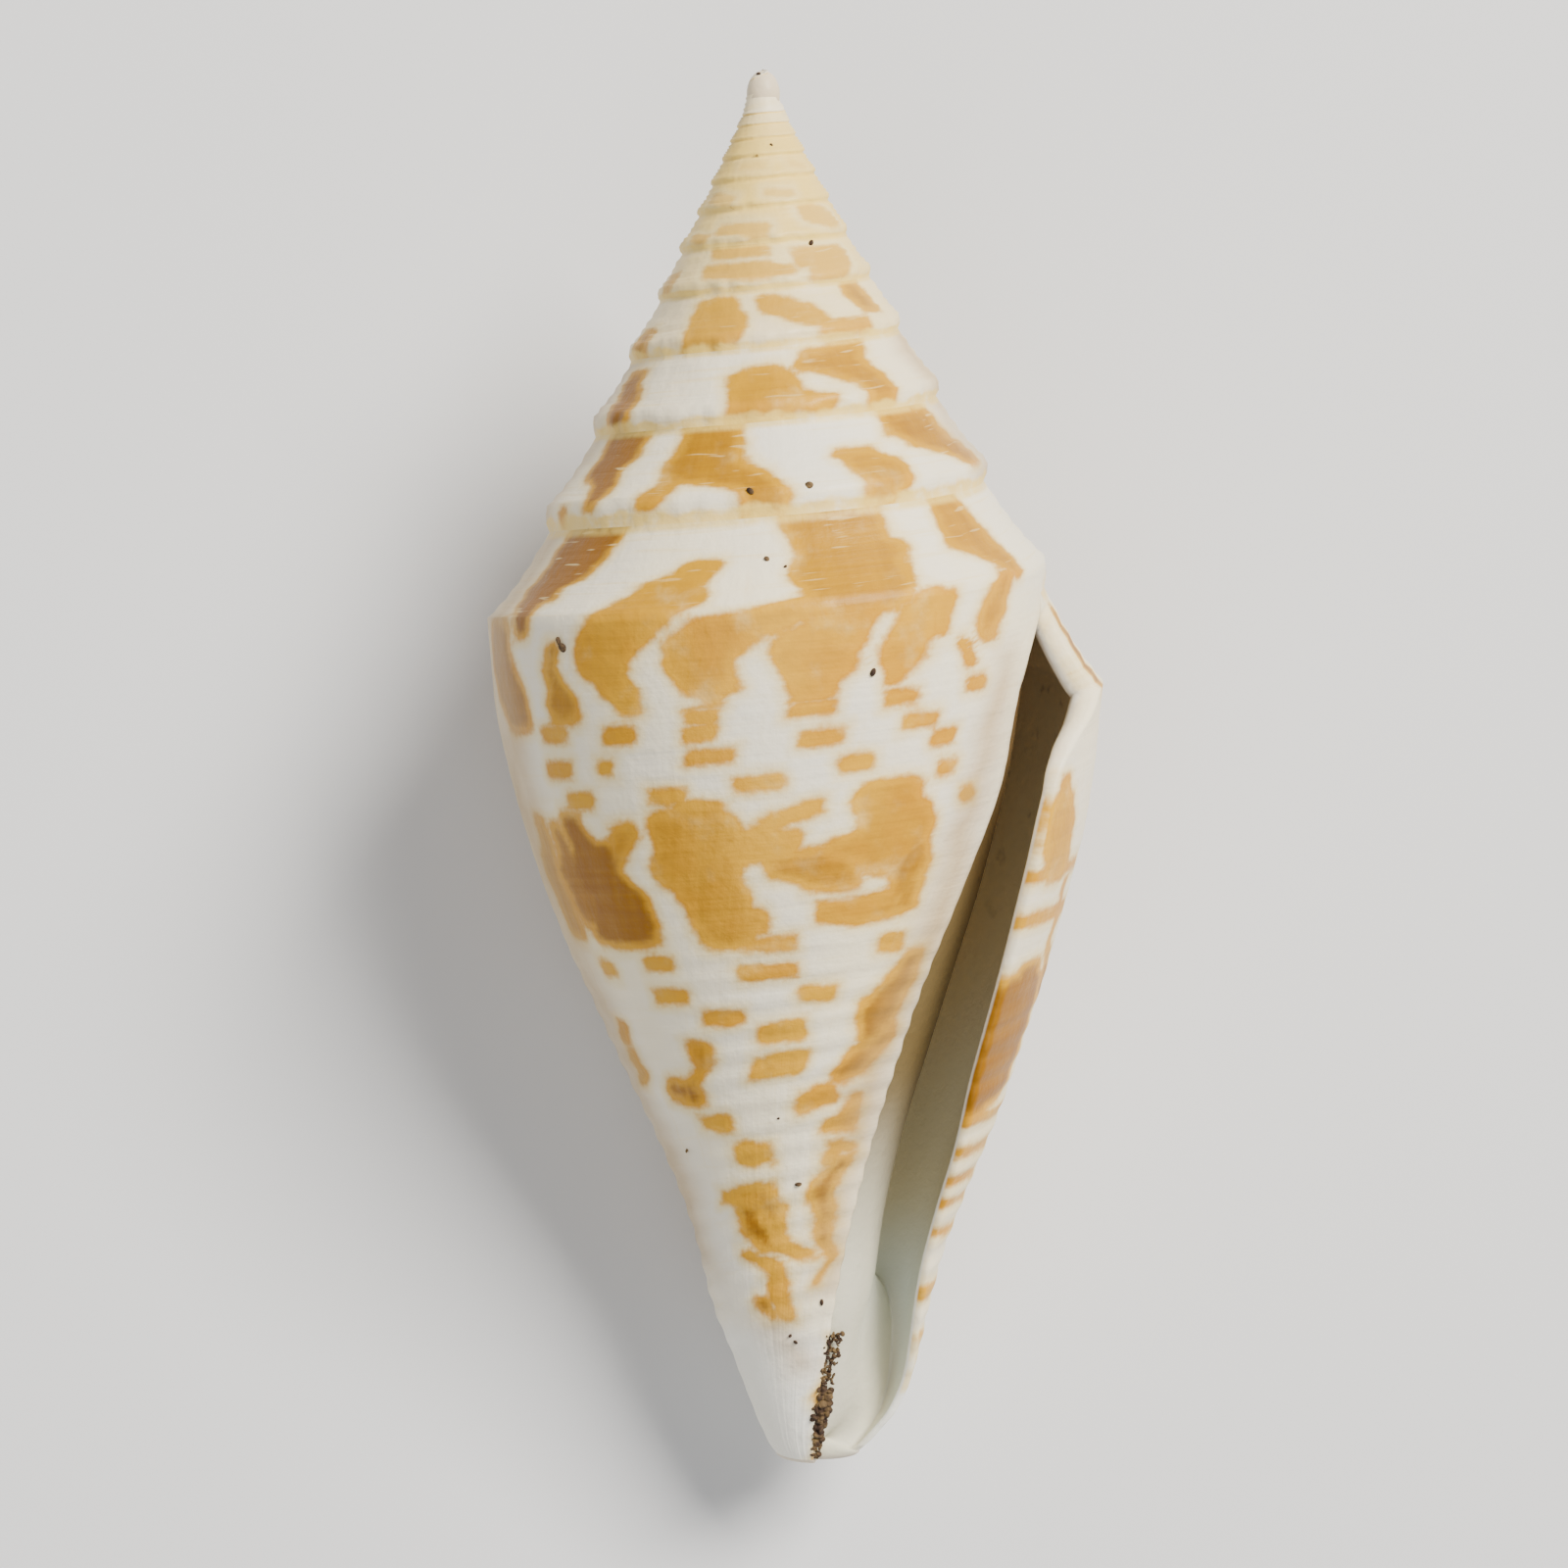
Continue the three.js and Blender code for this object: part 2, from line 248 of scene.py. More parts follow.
class Skin:
    """A mesh under construction: sheets of points joined into faces, with values at each face's corners."""

    def __init__(self, channels: tuple[str, ...]) -> None:
        """Starts an empty mesh whose corners carry the named values."""
        self.channels = channels
        self.points: list[np.ndarray] = []
        self.faces: list[np.ndarray] = []
        self.values: list[np.ndarray] = []
        self.count = 0

    def add(self, points: np.ndarray) -> np.ndarray:
        """Adds points and returns their numbers, in the same arrangement."""
        flat = points.reshape(-1, 3)
        self.points.append(flat)
        numbers = np.arange(self.count, self.count + len(flat))
        self.count += len(flat)
        return numbers.reshape(points.shape[:-1])

    def sheet(self, numbers: np.ndarray, **values: np.ndarray) -> None:
        """Joins a grid of points into faces.

        Args:
            numbers: The points' numbers, column by column.
            values: For each channel, the values at the grid's points.
        """
        data = np.stack([np.broadcast_to(values.get(name, 0.0), numbers.shape) for name in self.channels], -1)
        corners = (slice(None, -1), slice(None, -1)), (slice(1, None), slice(None, -1))
        corners += (slice(1, None), slice(1, None)), (slice(None, -1), slice(1, None))
        self.faces.append(np.stack([numbers[c] for c in corners], -1).reshape(-1, 4))
        self.values.append(np.stack([data[c] for c in corners], -2).reshape(-1, 4, len(self.channels)))

    def known(self, numbers: np.ndarray) -> dict[str, np.ndarray]:
        """The values that the sheets so far carry at the given points, by channel."""
        table = np.zeros((self.count, len(self.channels)))
        for faces, values in zip(self.faces, self.values):
            table[faces.ravel()] = values.reshape(-1, len(self.channels))
        return dict(zip(self.channels, table[numbers].T))

    def mesh(self, name: str, turn: Matrix, shift: Vector) -> bpy.types.Mesh:
        """Makes the mesh, laid into the scene.

        Args:
            name: The mesh's name.
            turn: The turn from the grown frame to the way the shell lies.
            shift: The move after it, in metres.

        Returns:
            The finished mesh, smooth, with one attribute for each channel.
        """
        points = np.concatenate(self.points) @ np.array(turn).T * MM + np.array(shift)
        points[:, 2] = np.maximum(points[:, 2], 0.0)
        faces = np.concatenate(self.faces)
        values = np.concatenate(self.values)
        kept = faces != np.roll(faces, 1, axis=1)
        sides = kept.sum(axis=1)
        whole = sides >= 3
        kept, faces, values, sides = kept[whole], faces[whole], values[whole], sides[whole]
        mesh = bpy.data.meshes.new(name)
        mesh.vertices.add(len(points))
        mesh.vertices.foreach_set("co", points.ravel())
        mesh.loops.add(int(sides.sum()))
        mesh.loops.foreach_set("vertex_index", faces[kept])
        mesh.polygons.add(len(faces))
        mesh.polygons.foreach_set("loop_start", np.concatenate([[0], np.cumsum(sides)[:-1]]))
        mesh.polygons.foreach_set("use_smooth", np.ones(len(faces), bool))
        for channel, column in zip(self.channels, values[kept].T):
            layer = mesh.attributes.new(channel, "FLOAT", "CORNER")
            layer.data.foreach_set("value", np.ascontiguousarray(column, dtype=np.float32))
        mesh.update(calc_edges=True)
        mesh.validate()
        return mesh


@dataclass
class Markings:
    """The brown flames and dashes, as a field in millimetres that is above 0 inside a mark."""

    growth: Growth
    seed: int = 7
    dash_height: float = 0.39
    join: float = 0.06
    squareness: float = 4.0
    row_pitch: float = 0.48
    row_shift: float = 0.16
    ramp_share: float = 0.465
    body_stretch: float = 1.04
    farthest: float = 0.6

    def shoulder_flames(self) -> list[Stroke]:
        """The flames that cross the last whorl's ramp and shoulder."""
        return [
            Stroke(((144, -1.0, 1.7), (147, -0.75, 1.6), (150, -0.5, 1.5), (153, -0.25, 1.0),
                    (151, 0.01, 0.6)), 1.0),
            Stroke(((109, -0.47, 0.9), (111, -0.3, 1.1), (117, -0.08, 1.1), (124, 0.022, 1.2),
                    (127, 0.045, 1.2),
                    (126, 0.07, 0.9), (124, 0.098, 0.65)), 0.3),
            Stroke(((79, -1.0, 1.9), (77, -0.75, 1.8), (76, -0.5, 1.9), (73, -0.3, 2.1),
                    (76, -0.1, 1.2)), 0.45),
            Stroke(((72, -0.3, 1.0), (65, -0.42, 0.5), (60, -0.45, 0.3)), 0.3),
            Stroke(((76, -0.08, 0.8), (86, 0.004, 0.6), (97, 0.025, 0.7), (104, 0.042, 1.15),
                    (106, 0.06, 1.3),
                    (107, 0.08, 0.7), (106, 0.096, 0.55)), 0.35),
            Stroke(((67, -0.08, 0.4), (61, -0.28, 0.4)), 0.45),
            Stroke(((71, 0.014, 0.45), (75, 0.034, 0.8), (80, 0.05, 1.1), (85, 0.066, 1.2),
                    (86, 0.085, 1.0)), 0.3),
            Stroke(((58, 0.012, 0.6), (60, 0.035, 0.9), (63, 0.055, 0.75), (67, 0.078, 0.6),
                    (69, 0.092, 0.4)), 0.3),
            Stroke(((54, 0.02, 0.6), (54, 0.046, 0.35)), 0.25),
            Stroke(((35, 0.0, 0.55), (38, 0.03, 0.75), (41, 0.052, 0.65), (42, 0.064, 0.3)), 0.45),
            Stroke(((49, 0.066, 0.35), (49, 0.086, 0.4)), 0.3),
            Stroke(((43, -0.93, 0.9), (42, -0.7, 1.1), (36, -0.5, 0.8), (31, -0.28, 0.8),
                    (30, -0.04, 0.5)), 0.45),
            Stroke(((163, 0.04, 1.4), (162, 0.07, 1.4), (159, 0.098, 1.3)), 0.8),
            Stroke(((140, 0.04, 0.45), (141, 0.07, 0.6), (141, 0.1, 0.95)), 0.6),
        ]

    def body_flames(self) -> list[Stroke]:
        """The blotches of the middle band, and those lower down the front."""
        return [
            Stroke(((144, 0.246, 0.8), (143, 0.275, 1.0), (140, 0.305, 1.6), (139, 0.335, 1.9)), 0.8),
            Stroke(((127, 0.249, 0.4), (130, 0.256, 0.5), (133, 0.28, 0.5)), 0.5),
            Stroke(((151, 0.255, 0.6), (150, 0.3, 1.0), (147, 0.335, 1.3)), 0.7),
            Stroke(((146, 0.365, 0.8), (131, 0.371, 0.6)), 0.8),
            Stroke(((158, 0.25, 0.6), (160, 0.3, 0.9), (160, 0.36, 0.8)), 0.5),
            Stroke(((110, 0.25, 1.2), (112, 0.275, 1.8), (111, 0.305, 1.5), (110, 0.335, 1.35),
                    (109, 0.36, 1.2)), 0.4),
            Stroke(((104, 0.25, 0.6), (104, 0.3, 0.3)), 0.3),
            Stroke(((112, 0.362, 0.6), (102, 0.36, 0.6)), 0.4),
            Stroke(((108, 0.275, 0.8), (98, 0.272, 0.75), (92, 0.274, 0.7)), 0.25),
            Stroke(((97, 0.258, 0.4), (92, 0.242, 0.4), (84, 0.232, 0.4)), 0.35),
            Stroke(((93, 0.298, 0.6), (84, 0.305, 1.0), (80, 0.31, 0.9)), 0.5),
            Stroke(((64, 0.232, 0.7), (67, 0.25, 1.5), (65, 0.275, 1.6), (62, 0.292, 1.0)), 0.4),
            Stroke(((79, 0.285, 0.6), (70, 0.28, 0.9)), 0.4),
            Stroke(((60, 0.3, 0.9), (63, 0.325, 0.8), (63, 0.35, 0.7)), 0.55),
            Stroke(((84, 0.356, 0.5), (75, 0.357, 0.65), (66, 0.355, 0.7)), 0.35),
            Stroke(((100, 0.496, 0.5), (92, 0.493, 0.5)), 0.35),
            Stroke(((103, 0.538, 0.5), (93, 0.532, 0.6)), 0.35),
            Stroke(((124, 0.517, 0.6), (126, 0.542, 0.35), (131, 0.567, 0.6)), 0.55),
            Stroke(((136, 0.562, 0.6), (129, 0.568, 0.6)), 0.75),
            Stroke(((80, 0.575, 0.5), (86, 0.581, 0.45), (90, 0.592, 0.3)), 0.35),
            Stroke(((128, 0.603, 0.35), (122, 0.604, 0.5)), 0.4),
            Stroke(((114, 0.642, 0.6), (108, 0.643, 0.5)), 0.3),
            Stroke(((79, 0.614, 0.4), (71, 0.612, 0.5)), 0.6),
            Stroke(((81, 0.658, 0.3), (76, 0.64, 0.4), (70, 0.644, 0.3)), 0.55),
            Stroke(((75, 0.665, 0.5), (80, 0.69, 0.6), (76, 0.72, 0.5), (79, 0.76, 0.35),
                    (82, 0.8, 0.2)), 0.8),
            Stroke(((130, 0.696, 0.3), (120, 0.692, 0.5), (110, 0.69, 0.5), (104, 0.715, 0.6)), 0.55),
            Stroke(((117, 0.715, 0.6), (113, 0.735, 0.6), (108, 0.752, 0.5)), 0.8),
            Stroke(((100, 0.712, 0.4), (104, 0.745, 0.5), (96, 0.765, 0.4), (90, 0.768, 0.3)), 0.35),
            Stroke(((122, 0.768, 0.3), (112, 0.785, 0.4), (106, 0.81, 0.5), (102, 0.838, 0.4)), 0.3),
            Stroke(((116, 0.826, 0.4), (111, 0.838, 0.3)), 0.95),
            Stroke(((155, 0.49, 0.4), (156, 0.5, 0.4)), 0.5),
            Stroke(((157, 0.525, 0.4), (156, 0.545, 0.5)), 0.5),
            Stroke(((66, 0.4, 0.5), (64, 0.402, 0.5)), 0.5),
            Stroke(((57, 0.43, 0.6), (59, 0.45, 0.7), (65, 0.485, 0.9), (68, 0.505, 0.6)), 0.75),
            Stroke(((62, 0.52, 0.5), (69, 0.54, 0.7), (74, 0.555, 0.4)), 0.7),
            Stroke(((68, 0.585, 0.3), (72, 0.6, 0.3)), 0.5),
        ]

    def dashes(self) -> list[Stroke]:
        """The short dashes in rows between the blotches."""
        high = [
            (145, 0.137, 0.75), (127, 0.138, 0.7), (109, 0.122, 0.6), (86.5, 0.12, 0.95), (67, 0.118, 0.75),
            (47.5, 0.115, 0.55), (109, 0.14, 0.65), (83.5, 0.154, 0.85), (61.5, 0.148, 0.8),
            (144, 0.178, 0.75),
            (130, 0.177, 0.35), (106, 0.166, 0.95), (75.5, 0.187, 0.7), (54, 0.171, 0.6), (140, 0.214, 0.7),
            (117, 0.21, 0.75), (97, 0.2, 0.95), (53, 0.204, 0.5), (45, 0.24, 0.35),
        ]
        low = [
            (130.5, 0.408, 0.65), (129.5, 0.447, 0.75), (98.5, 0.389, 1.0), (99.5, 0.422, 1.1),
            (85.5, 0.452, 0.7),
            (113.5, 0.474, 0.8), (150, 0.415, 0.4),
        ]
        rows = high + low
        return [Stroke.dash(azimuth, down, length + 0.1, self.dash_height) for azimuth, down, length in rows]

    def lip_marks(self) -> list[Stroke]:
        """The marks on the narrow band between the lip's edge and the right-hand outline."""
        rows = [
            (0.228, 0.3, 0.5), (0.286, 0.34, 0.5), (0.553, 0.3, 0.5), (0.597, 0.3, 0.45), (0.636, 0.26, 0.4),
            (0.668, 0.24, 0.4), (0.71, 0.24, 0.3), (0.792, 0.36, 0.9),
        ]
        across = [Stroke(((38, down, wide), (14, down + 0.004, wide)), dark) for down, wide, dark in rows]
        return across + [
            Stroke(((31, 0.115, 0.5), (31, 0.16, 1.1), (27, 0.21, 1.1)), 0.35),
            Stroke(((19, 0.255, 0.3), (18, 0.34, 0.4)), 0.5),
            Stroke(((16, 0.355, 0.5), (14, 0.4, 0.6)), 0.8),
            Stroke(((28, 0.385, 1.2), (31, 0.43, 2.2), (33, 0.47, 2.2), (37, 0.512, 1.2)), 0.8),
            Stroke(((12, -0.83, 0.4), (10, -0.6, 0.6), (9, -0.4, 0.5), (9, -0.15, 0.6), (9, 0.0, 0.4)), 1.0),
            Stroke(((12, 0.87, 0.5), (8, 0.91, 0.6)), 0.9),
            Stroke(((6, 0.5, 0.4), (2, 0.62, 0.3)), 0.4),
        ]

    def spire_flames(self) -> list[Stroke]:
        """The flames on the front of the older whorls' ramps."""
        return [
            Stroke(((147, -0.9, 1.4), (146, -0.65, 1.3), (143, -0.35, 0.9), (144, 0.0, 0.5)), 0.9, 1),
            Stroke(((157, 0.012, 0.4), (156, 0.02, 0.3)), 0.4, 1),
            Stroke(((113, -0.9, 1.2), (112, -0.6, 1.4), (104, -0.4, 0.9), (96, -0.2, 0.8),
                    (92, 0.012, 0.9)), 0.55, 1),
            Stroke(((114, -0.5, 0.4), (119, -0.28, 0.4), (124, 0.0, 0.6)), 0.35, 1),
            Stroke(((69, -0.5, 0.4), (63, -0.35, 0.9), (59, -0.12, 1.1), (61, 0.01, 0.8)), 0.4, 1),
            Stroke(((50, -0.85, 0.7), (38, -0.75, 1.0), (28, -0.5, 0.8), (20, -0.2, 0.8)), 0.6, 1),
            Stroke(((153, -0.6, 0.8), (151, -0.3, 1.0), (150, 0.01, 0.9)), 0.8, 2),
            Stroke(((92, -0.45, 0.9), (93, -0.2, 1.4), (94, 0.01, 1.3)), 0.35, 2),
            Stroke(((84, -0.05, 0.6), (72, 0.005, 0.5)), 0.25, 2),
            Stroke(((74, -0.75, 0.6), (60, -0.68, 1.0), (53, -0.4, 0.8), (50, 0.0, 0.8)), 0.5, 2),
            Stroke(((159, -0.15, 0.7), (157, 0.02, 0.7)), 0.6, 3),
            Stroke(((115, -0.5, 1.0), (115, -0.2, 1.2), (118, 0.02, 1.1)), 0.35, 3),
            Stroke(((88, -0.7, 0.5), (74, -0.45, 0.6), (66, -0.2, 0.4)), 0.25, 3),
            Stroke(((38, -0.85, 0.6), (34, -0.55, 0.7)), 0.7, 3),
            Stroke(((64, -0.02, 0.5), (46, 0.0, 0.5)), 0.4, 3),
            Stroke(((160, -0.2, 0.6), (158, 0.0, 0.5)), 0.5, 4),
            Stroke(((120, -0.85, 0.4), (92, -0.85, 0.4)), 0.35, 4),
            Stroke(((124, -0.3, 0.5), (95, -0.25, 0.6), (80, -0.2, 0.4)), 0.25, 4),
            Stroke(((66, -0.5, 0.6), (44, -0.4, 0.7)), 0.35, 4),
            Stroke(((62, 0.0, 0.4), (45, 0.0, 0.4)), 0.35, 4),
            Stroke(((122, -0.35, 0.4), (98, -0.2, 0.5), (96, 0.0, 0.4)), 0.35, 5),
            Stroke(((52, -0.7, 0.5), (34, -0.3, 0.5)), 0.4, 5),
            Stroke(((150, -0.1, 0.3), (140, 0.0, 0.3)), 0.3, 5),
            Stroke(((145, -0.3, 0.35), (128, -0.1, 0.35)), 0.25, 6),
            Stroke(((86, -0.4, 0.25), (70, -0.3, 0.25)), 0.2, 6),
            Stroke(((118, -0.5, 0.25), (95, -0.5, 0.25)), 0.2, 7),
            Stroke(((55, -0.5, 0.25), (40, -0.3, 0.25)), 0.3, 7),
        ]

    def back_marks(self) -> list[Stroke]:
        """The marks round the back, strewn by a seeded rule in the style of those in front."""
        rng = np.random.default_rng(self.seed)
        made = []
        for azimuth in np.arange(196.0, 350.0, 22.0):
            at = azimuth + rng.uniform(-3.0, 3.0)
            lean = rng.uniform(2.0, 12.0)
            wide = rng.uniform(0.7, 1.5)
            upper = (at - lean, -0.5, wide), (at, -0.05, wide)
            path = upper + ((at + lean, 0.05, wide), (at + lean, 0.09, wide * 0.6))
            made.append(Stroke(path[rng.integers(0, 2):], rng.uniform(0.3, 0.6)))
            for down in (0.12, 0.15, 0.18, 0.21):
                if rng.random() < 0.8:
                    place = at + lean + rng.uniform(-8.0, 8.0)
                    made.append(Stroke.dash(place, down, rng.uniform(0.5, 1.0), self.dash_height))
            for down in (0.405, 0.438, 0.47, 0.5, 0.535, 0.57, 0.605, 0.64):
                if rng.random() < 0.55:
                    place = at + rng.uniform(-8.0, 8.0)
                    made.append(Stroke.dash(place, down, rng.uniform(0.5, 1.0), self.dash_height, 0.4))
        for azimuth in np.arange(200.0, 350.0, 33.0):
            at = azimuth + rng.uniform(-5.0, 5.0)
            wide = rng.uniform(1.0, 1.7)
            made.append(Stroke(((at, 0.25, wide), (at + 4.0, 0.3, wide * 1.2), (at, 0.36, wide)), 0.45))
            made.append(Stroke(((at, 0.3, 0.8), (at + 18.0, rng.uniform(0.27, 0.35), 0.7)), 0.35))
            made.append(Stroke(((at, 0.69, 0.5), (at + 8.0, 0.73, 0.7), (at + 3.0, 0.79, 0.5)), 0.5))
        for whorl in range(6):
            for azimuth in np.arange(205.0, 350.0, 42.0):
                at = azimuth + rng.uniform(-9.0, 9.0)
                wide = rng.uniform(0.9, 1.4) * self.growth.whorl_growth**-whorl
                tip = at + rng.uniform(3.0, 12.0)
                start = (at, rng.uniform(-0.9, -0.6), wide)
                path = (start, ((at + tip) / 2.0, -0.35, wide * 0.9), (tip, 0.0, wide * 0.6))
                made.append(Stroke(path, rng.uniform(0.35, 0.8) * (1.0 - whorl / 9.0), whorl))
        return made

    def all(self) -> list[Stroke]:
        """Every stroke on the shell."""
        front = self.shoulder_flames() + self.body_flames() + self.dashes()
        return front + self.spire_flames() + self.back_marks() + [self.groove()]

    def rise(self, growth: np.ndarray, across: np.ndarray | float) -> np.ndarray:
        """Millimetres across the whorl from its shoulder, below 0 on the ramp."""
        radius, depth = self.growth.shoulder(growth)
        body = (self.growth.length - depth) * self.body_stretch
        return across * np.where(np.asarray(across) < 0.0, self.ramp_share * radius, body)

    def field(self, azimuth: np.ndarray, growth: np.ndarray, across: np.ndarray,
              radius: np.ndarray) -> tuple[np.ndarray, np.ndarray]:
        """Measures how far inside the nearest stroke each point lies.

        Args:
            azimuth: Each point's angle about the axis, in radians, counted on from the lip.
            growth: The growth angle it was laid down at.
            across: Its place across the whorl.
            radius: Its distance from the axis, in millimetres.

        Returns:
            The distance, above 0 inside, and the nearest stroke's darkness.
        """
        best = np.full(azimuth.shape, -self.farthest)
        dark = np.zeros(azimuth.shape)
        placed = [(stroke, -1 - stroke.whorl) for stroke in self.all()]
        placed += [(stroke, 0) for stroke in self.lip_marks()]
        degrees = np.degrees(azimuth)
        for stroke, turns in placed:
            angles = [step[0] + 360.0 * turns for step in stroke.path]
            near = (degrees > min(angles) - 25.0 - 10.0 * stroke.whorl) & (
                degrees < max(angles) + 25.0 + 10.0 * stroke.whorl
            )
            if not near.any():
                continue
            inside = self.stroke_field(stroke, turns, azimuth[near], growth[near], across[near], radius[near])
            old = best[near]
            close = np.maximum(self.join - np.abs(old - inside), 0.0)
            dark[near] = np.where(inside > old, stroke.dark, dark[near])
            best[near] = np.maximum(old, inside) + close * close / (4.0 * self.join)
        return best, dark

    def shade_and_stain_marks(self) -> list[Stroke]:
        """Broad pale-brown marks: painted shade down the left side and the spire's right edge, stains
        elsewhere.
        """
        return [
            Stroke(((176, -0.6, 2.2), (174, 0.0, 2.6), (172, 0.2, 2.6), (172, 0.5, 1.8),
                    (170, 0.75, 1.0)), 0.0),
            Stroke(((36, 0.1, 0.3), (43, 0.25, 0.4), (52, 0.42, 0.5), (64, 0.6, 0.4), (74, 0.8, 0.3)), 0.0),
            Stroke(((178, -0.9, 1.4), (176, 0.0, 1.4)), 0.0, 1),
            Stroke(((175, -0.9, 0.9), (175, 0.0, 0.9)), 0.0, 2),
            Stroke(((10, -0.9, 1.2), (8, 0.0, 1.2)), 0.0, 1),
            Stroke(((10, -0.9, 0.9), (8, 0.0, 0.9)), 0.0, 2),
            Stroke(((100, 0.9, 0.2), (110, 0.86, 0.2)), 0.0),
            Stroke(((230, 0.1, 2.0), (250, 0.3, 1.4), (240, 0.6, 1.0)), 0.0),
            Stroke(((320, 0.0, 1.4), (325, 0.2, 1.4)), 0.0),
        ]

    def groove(self) -> Stroke:
        """The brown stain along the front groove."""
        older = np.array(-TURN)
        steps = [(0.87, 0.05), (0.92, 0.07), (0.955, 0.22), (0.975, 0.16), (1.02, 0.12)]
        angles = [math.degrees(self.growth.body_sheer(older, np.array(down))) - 3.0 for down, _ in steps]
        return Stroke(tuple((angle, down, wide) for angle, (down, wide) in zip(angles, steps)), 1.0)

    def shade_and_stain(self, azimuth: np.ndarray, growth: np.ndarray, across: np.ndarray,
             radius: np.ndarray) -> np.ndarray:
        """Measures how far inside the nearest of the painted side shades and stains each point lies, in
        millimetres.
        """
        best = np.full(azimuth.shape, -2.0)
        for stroke in self.shade_and_stain_marks():
            inside = self.stroke_field(stroke, -1 - stroke.whorl, azimuth, growth, across, radius)
            best = np.maximum(best, inside)
        return best

    def stroke_field(self, stroke: Stroke, turns: int, azimuth: np.ndarray, growth: np.ndarray,
                     across: np.ndarray, radius: np.ndarray) -> np.ndarray:
        """Measures how far inside one stroke each point lies.

        Args:
            stroke: The stroke.
            turns: How many turns after the lip it lies, 0 or below.
            azimuth: Each point's angle about the axis, in radians.
            growth: The growth angle it was laid down at.
            across: Its place across the whorl.
            radius: Its distance from the axis, in millimetres.

        Returns:
            The distance in millimetres, above 0 inside.
        """
        rise = self.rise(growth, across)
        rows = np.arange(-10, 45)
        shifts = np.random.default_rng(self.seed + 2).uniform(-self.row_shift, self.row_shift, len(rows))
        shift = np.interp(rise / self.row_pitch, rows, shifts)
        inside = np.full(azimuth.shape, -9.0)
        for start, end in zip(stroke.path, stroke.path[1:]):
            first, second = (math.radians(step[0]) + TURN * turns for step in (start, end))
            x, y = (azimuth - first) * radius + shift, rise - self.rise(growth, start[1])
            along, up = (second - first) * radius, self.rise(growth, end[1]) - self.rise(growth, start[1])
            part = np.clip((x * along + y * up) / np.maximum(along * along + up * up, 1e-6), 0.0, 1.0)
            aside, above = np.abs(x - along * part), np.abs(y - up * part)
            away = (aside**self.squareness + above**self.squareness) ** (1.0 / self.squareness)
            inside = np.maximum(inside, mix(start[2], end[2], part) / 2.0 - away)
        return inside


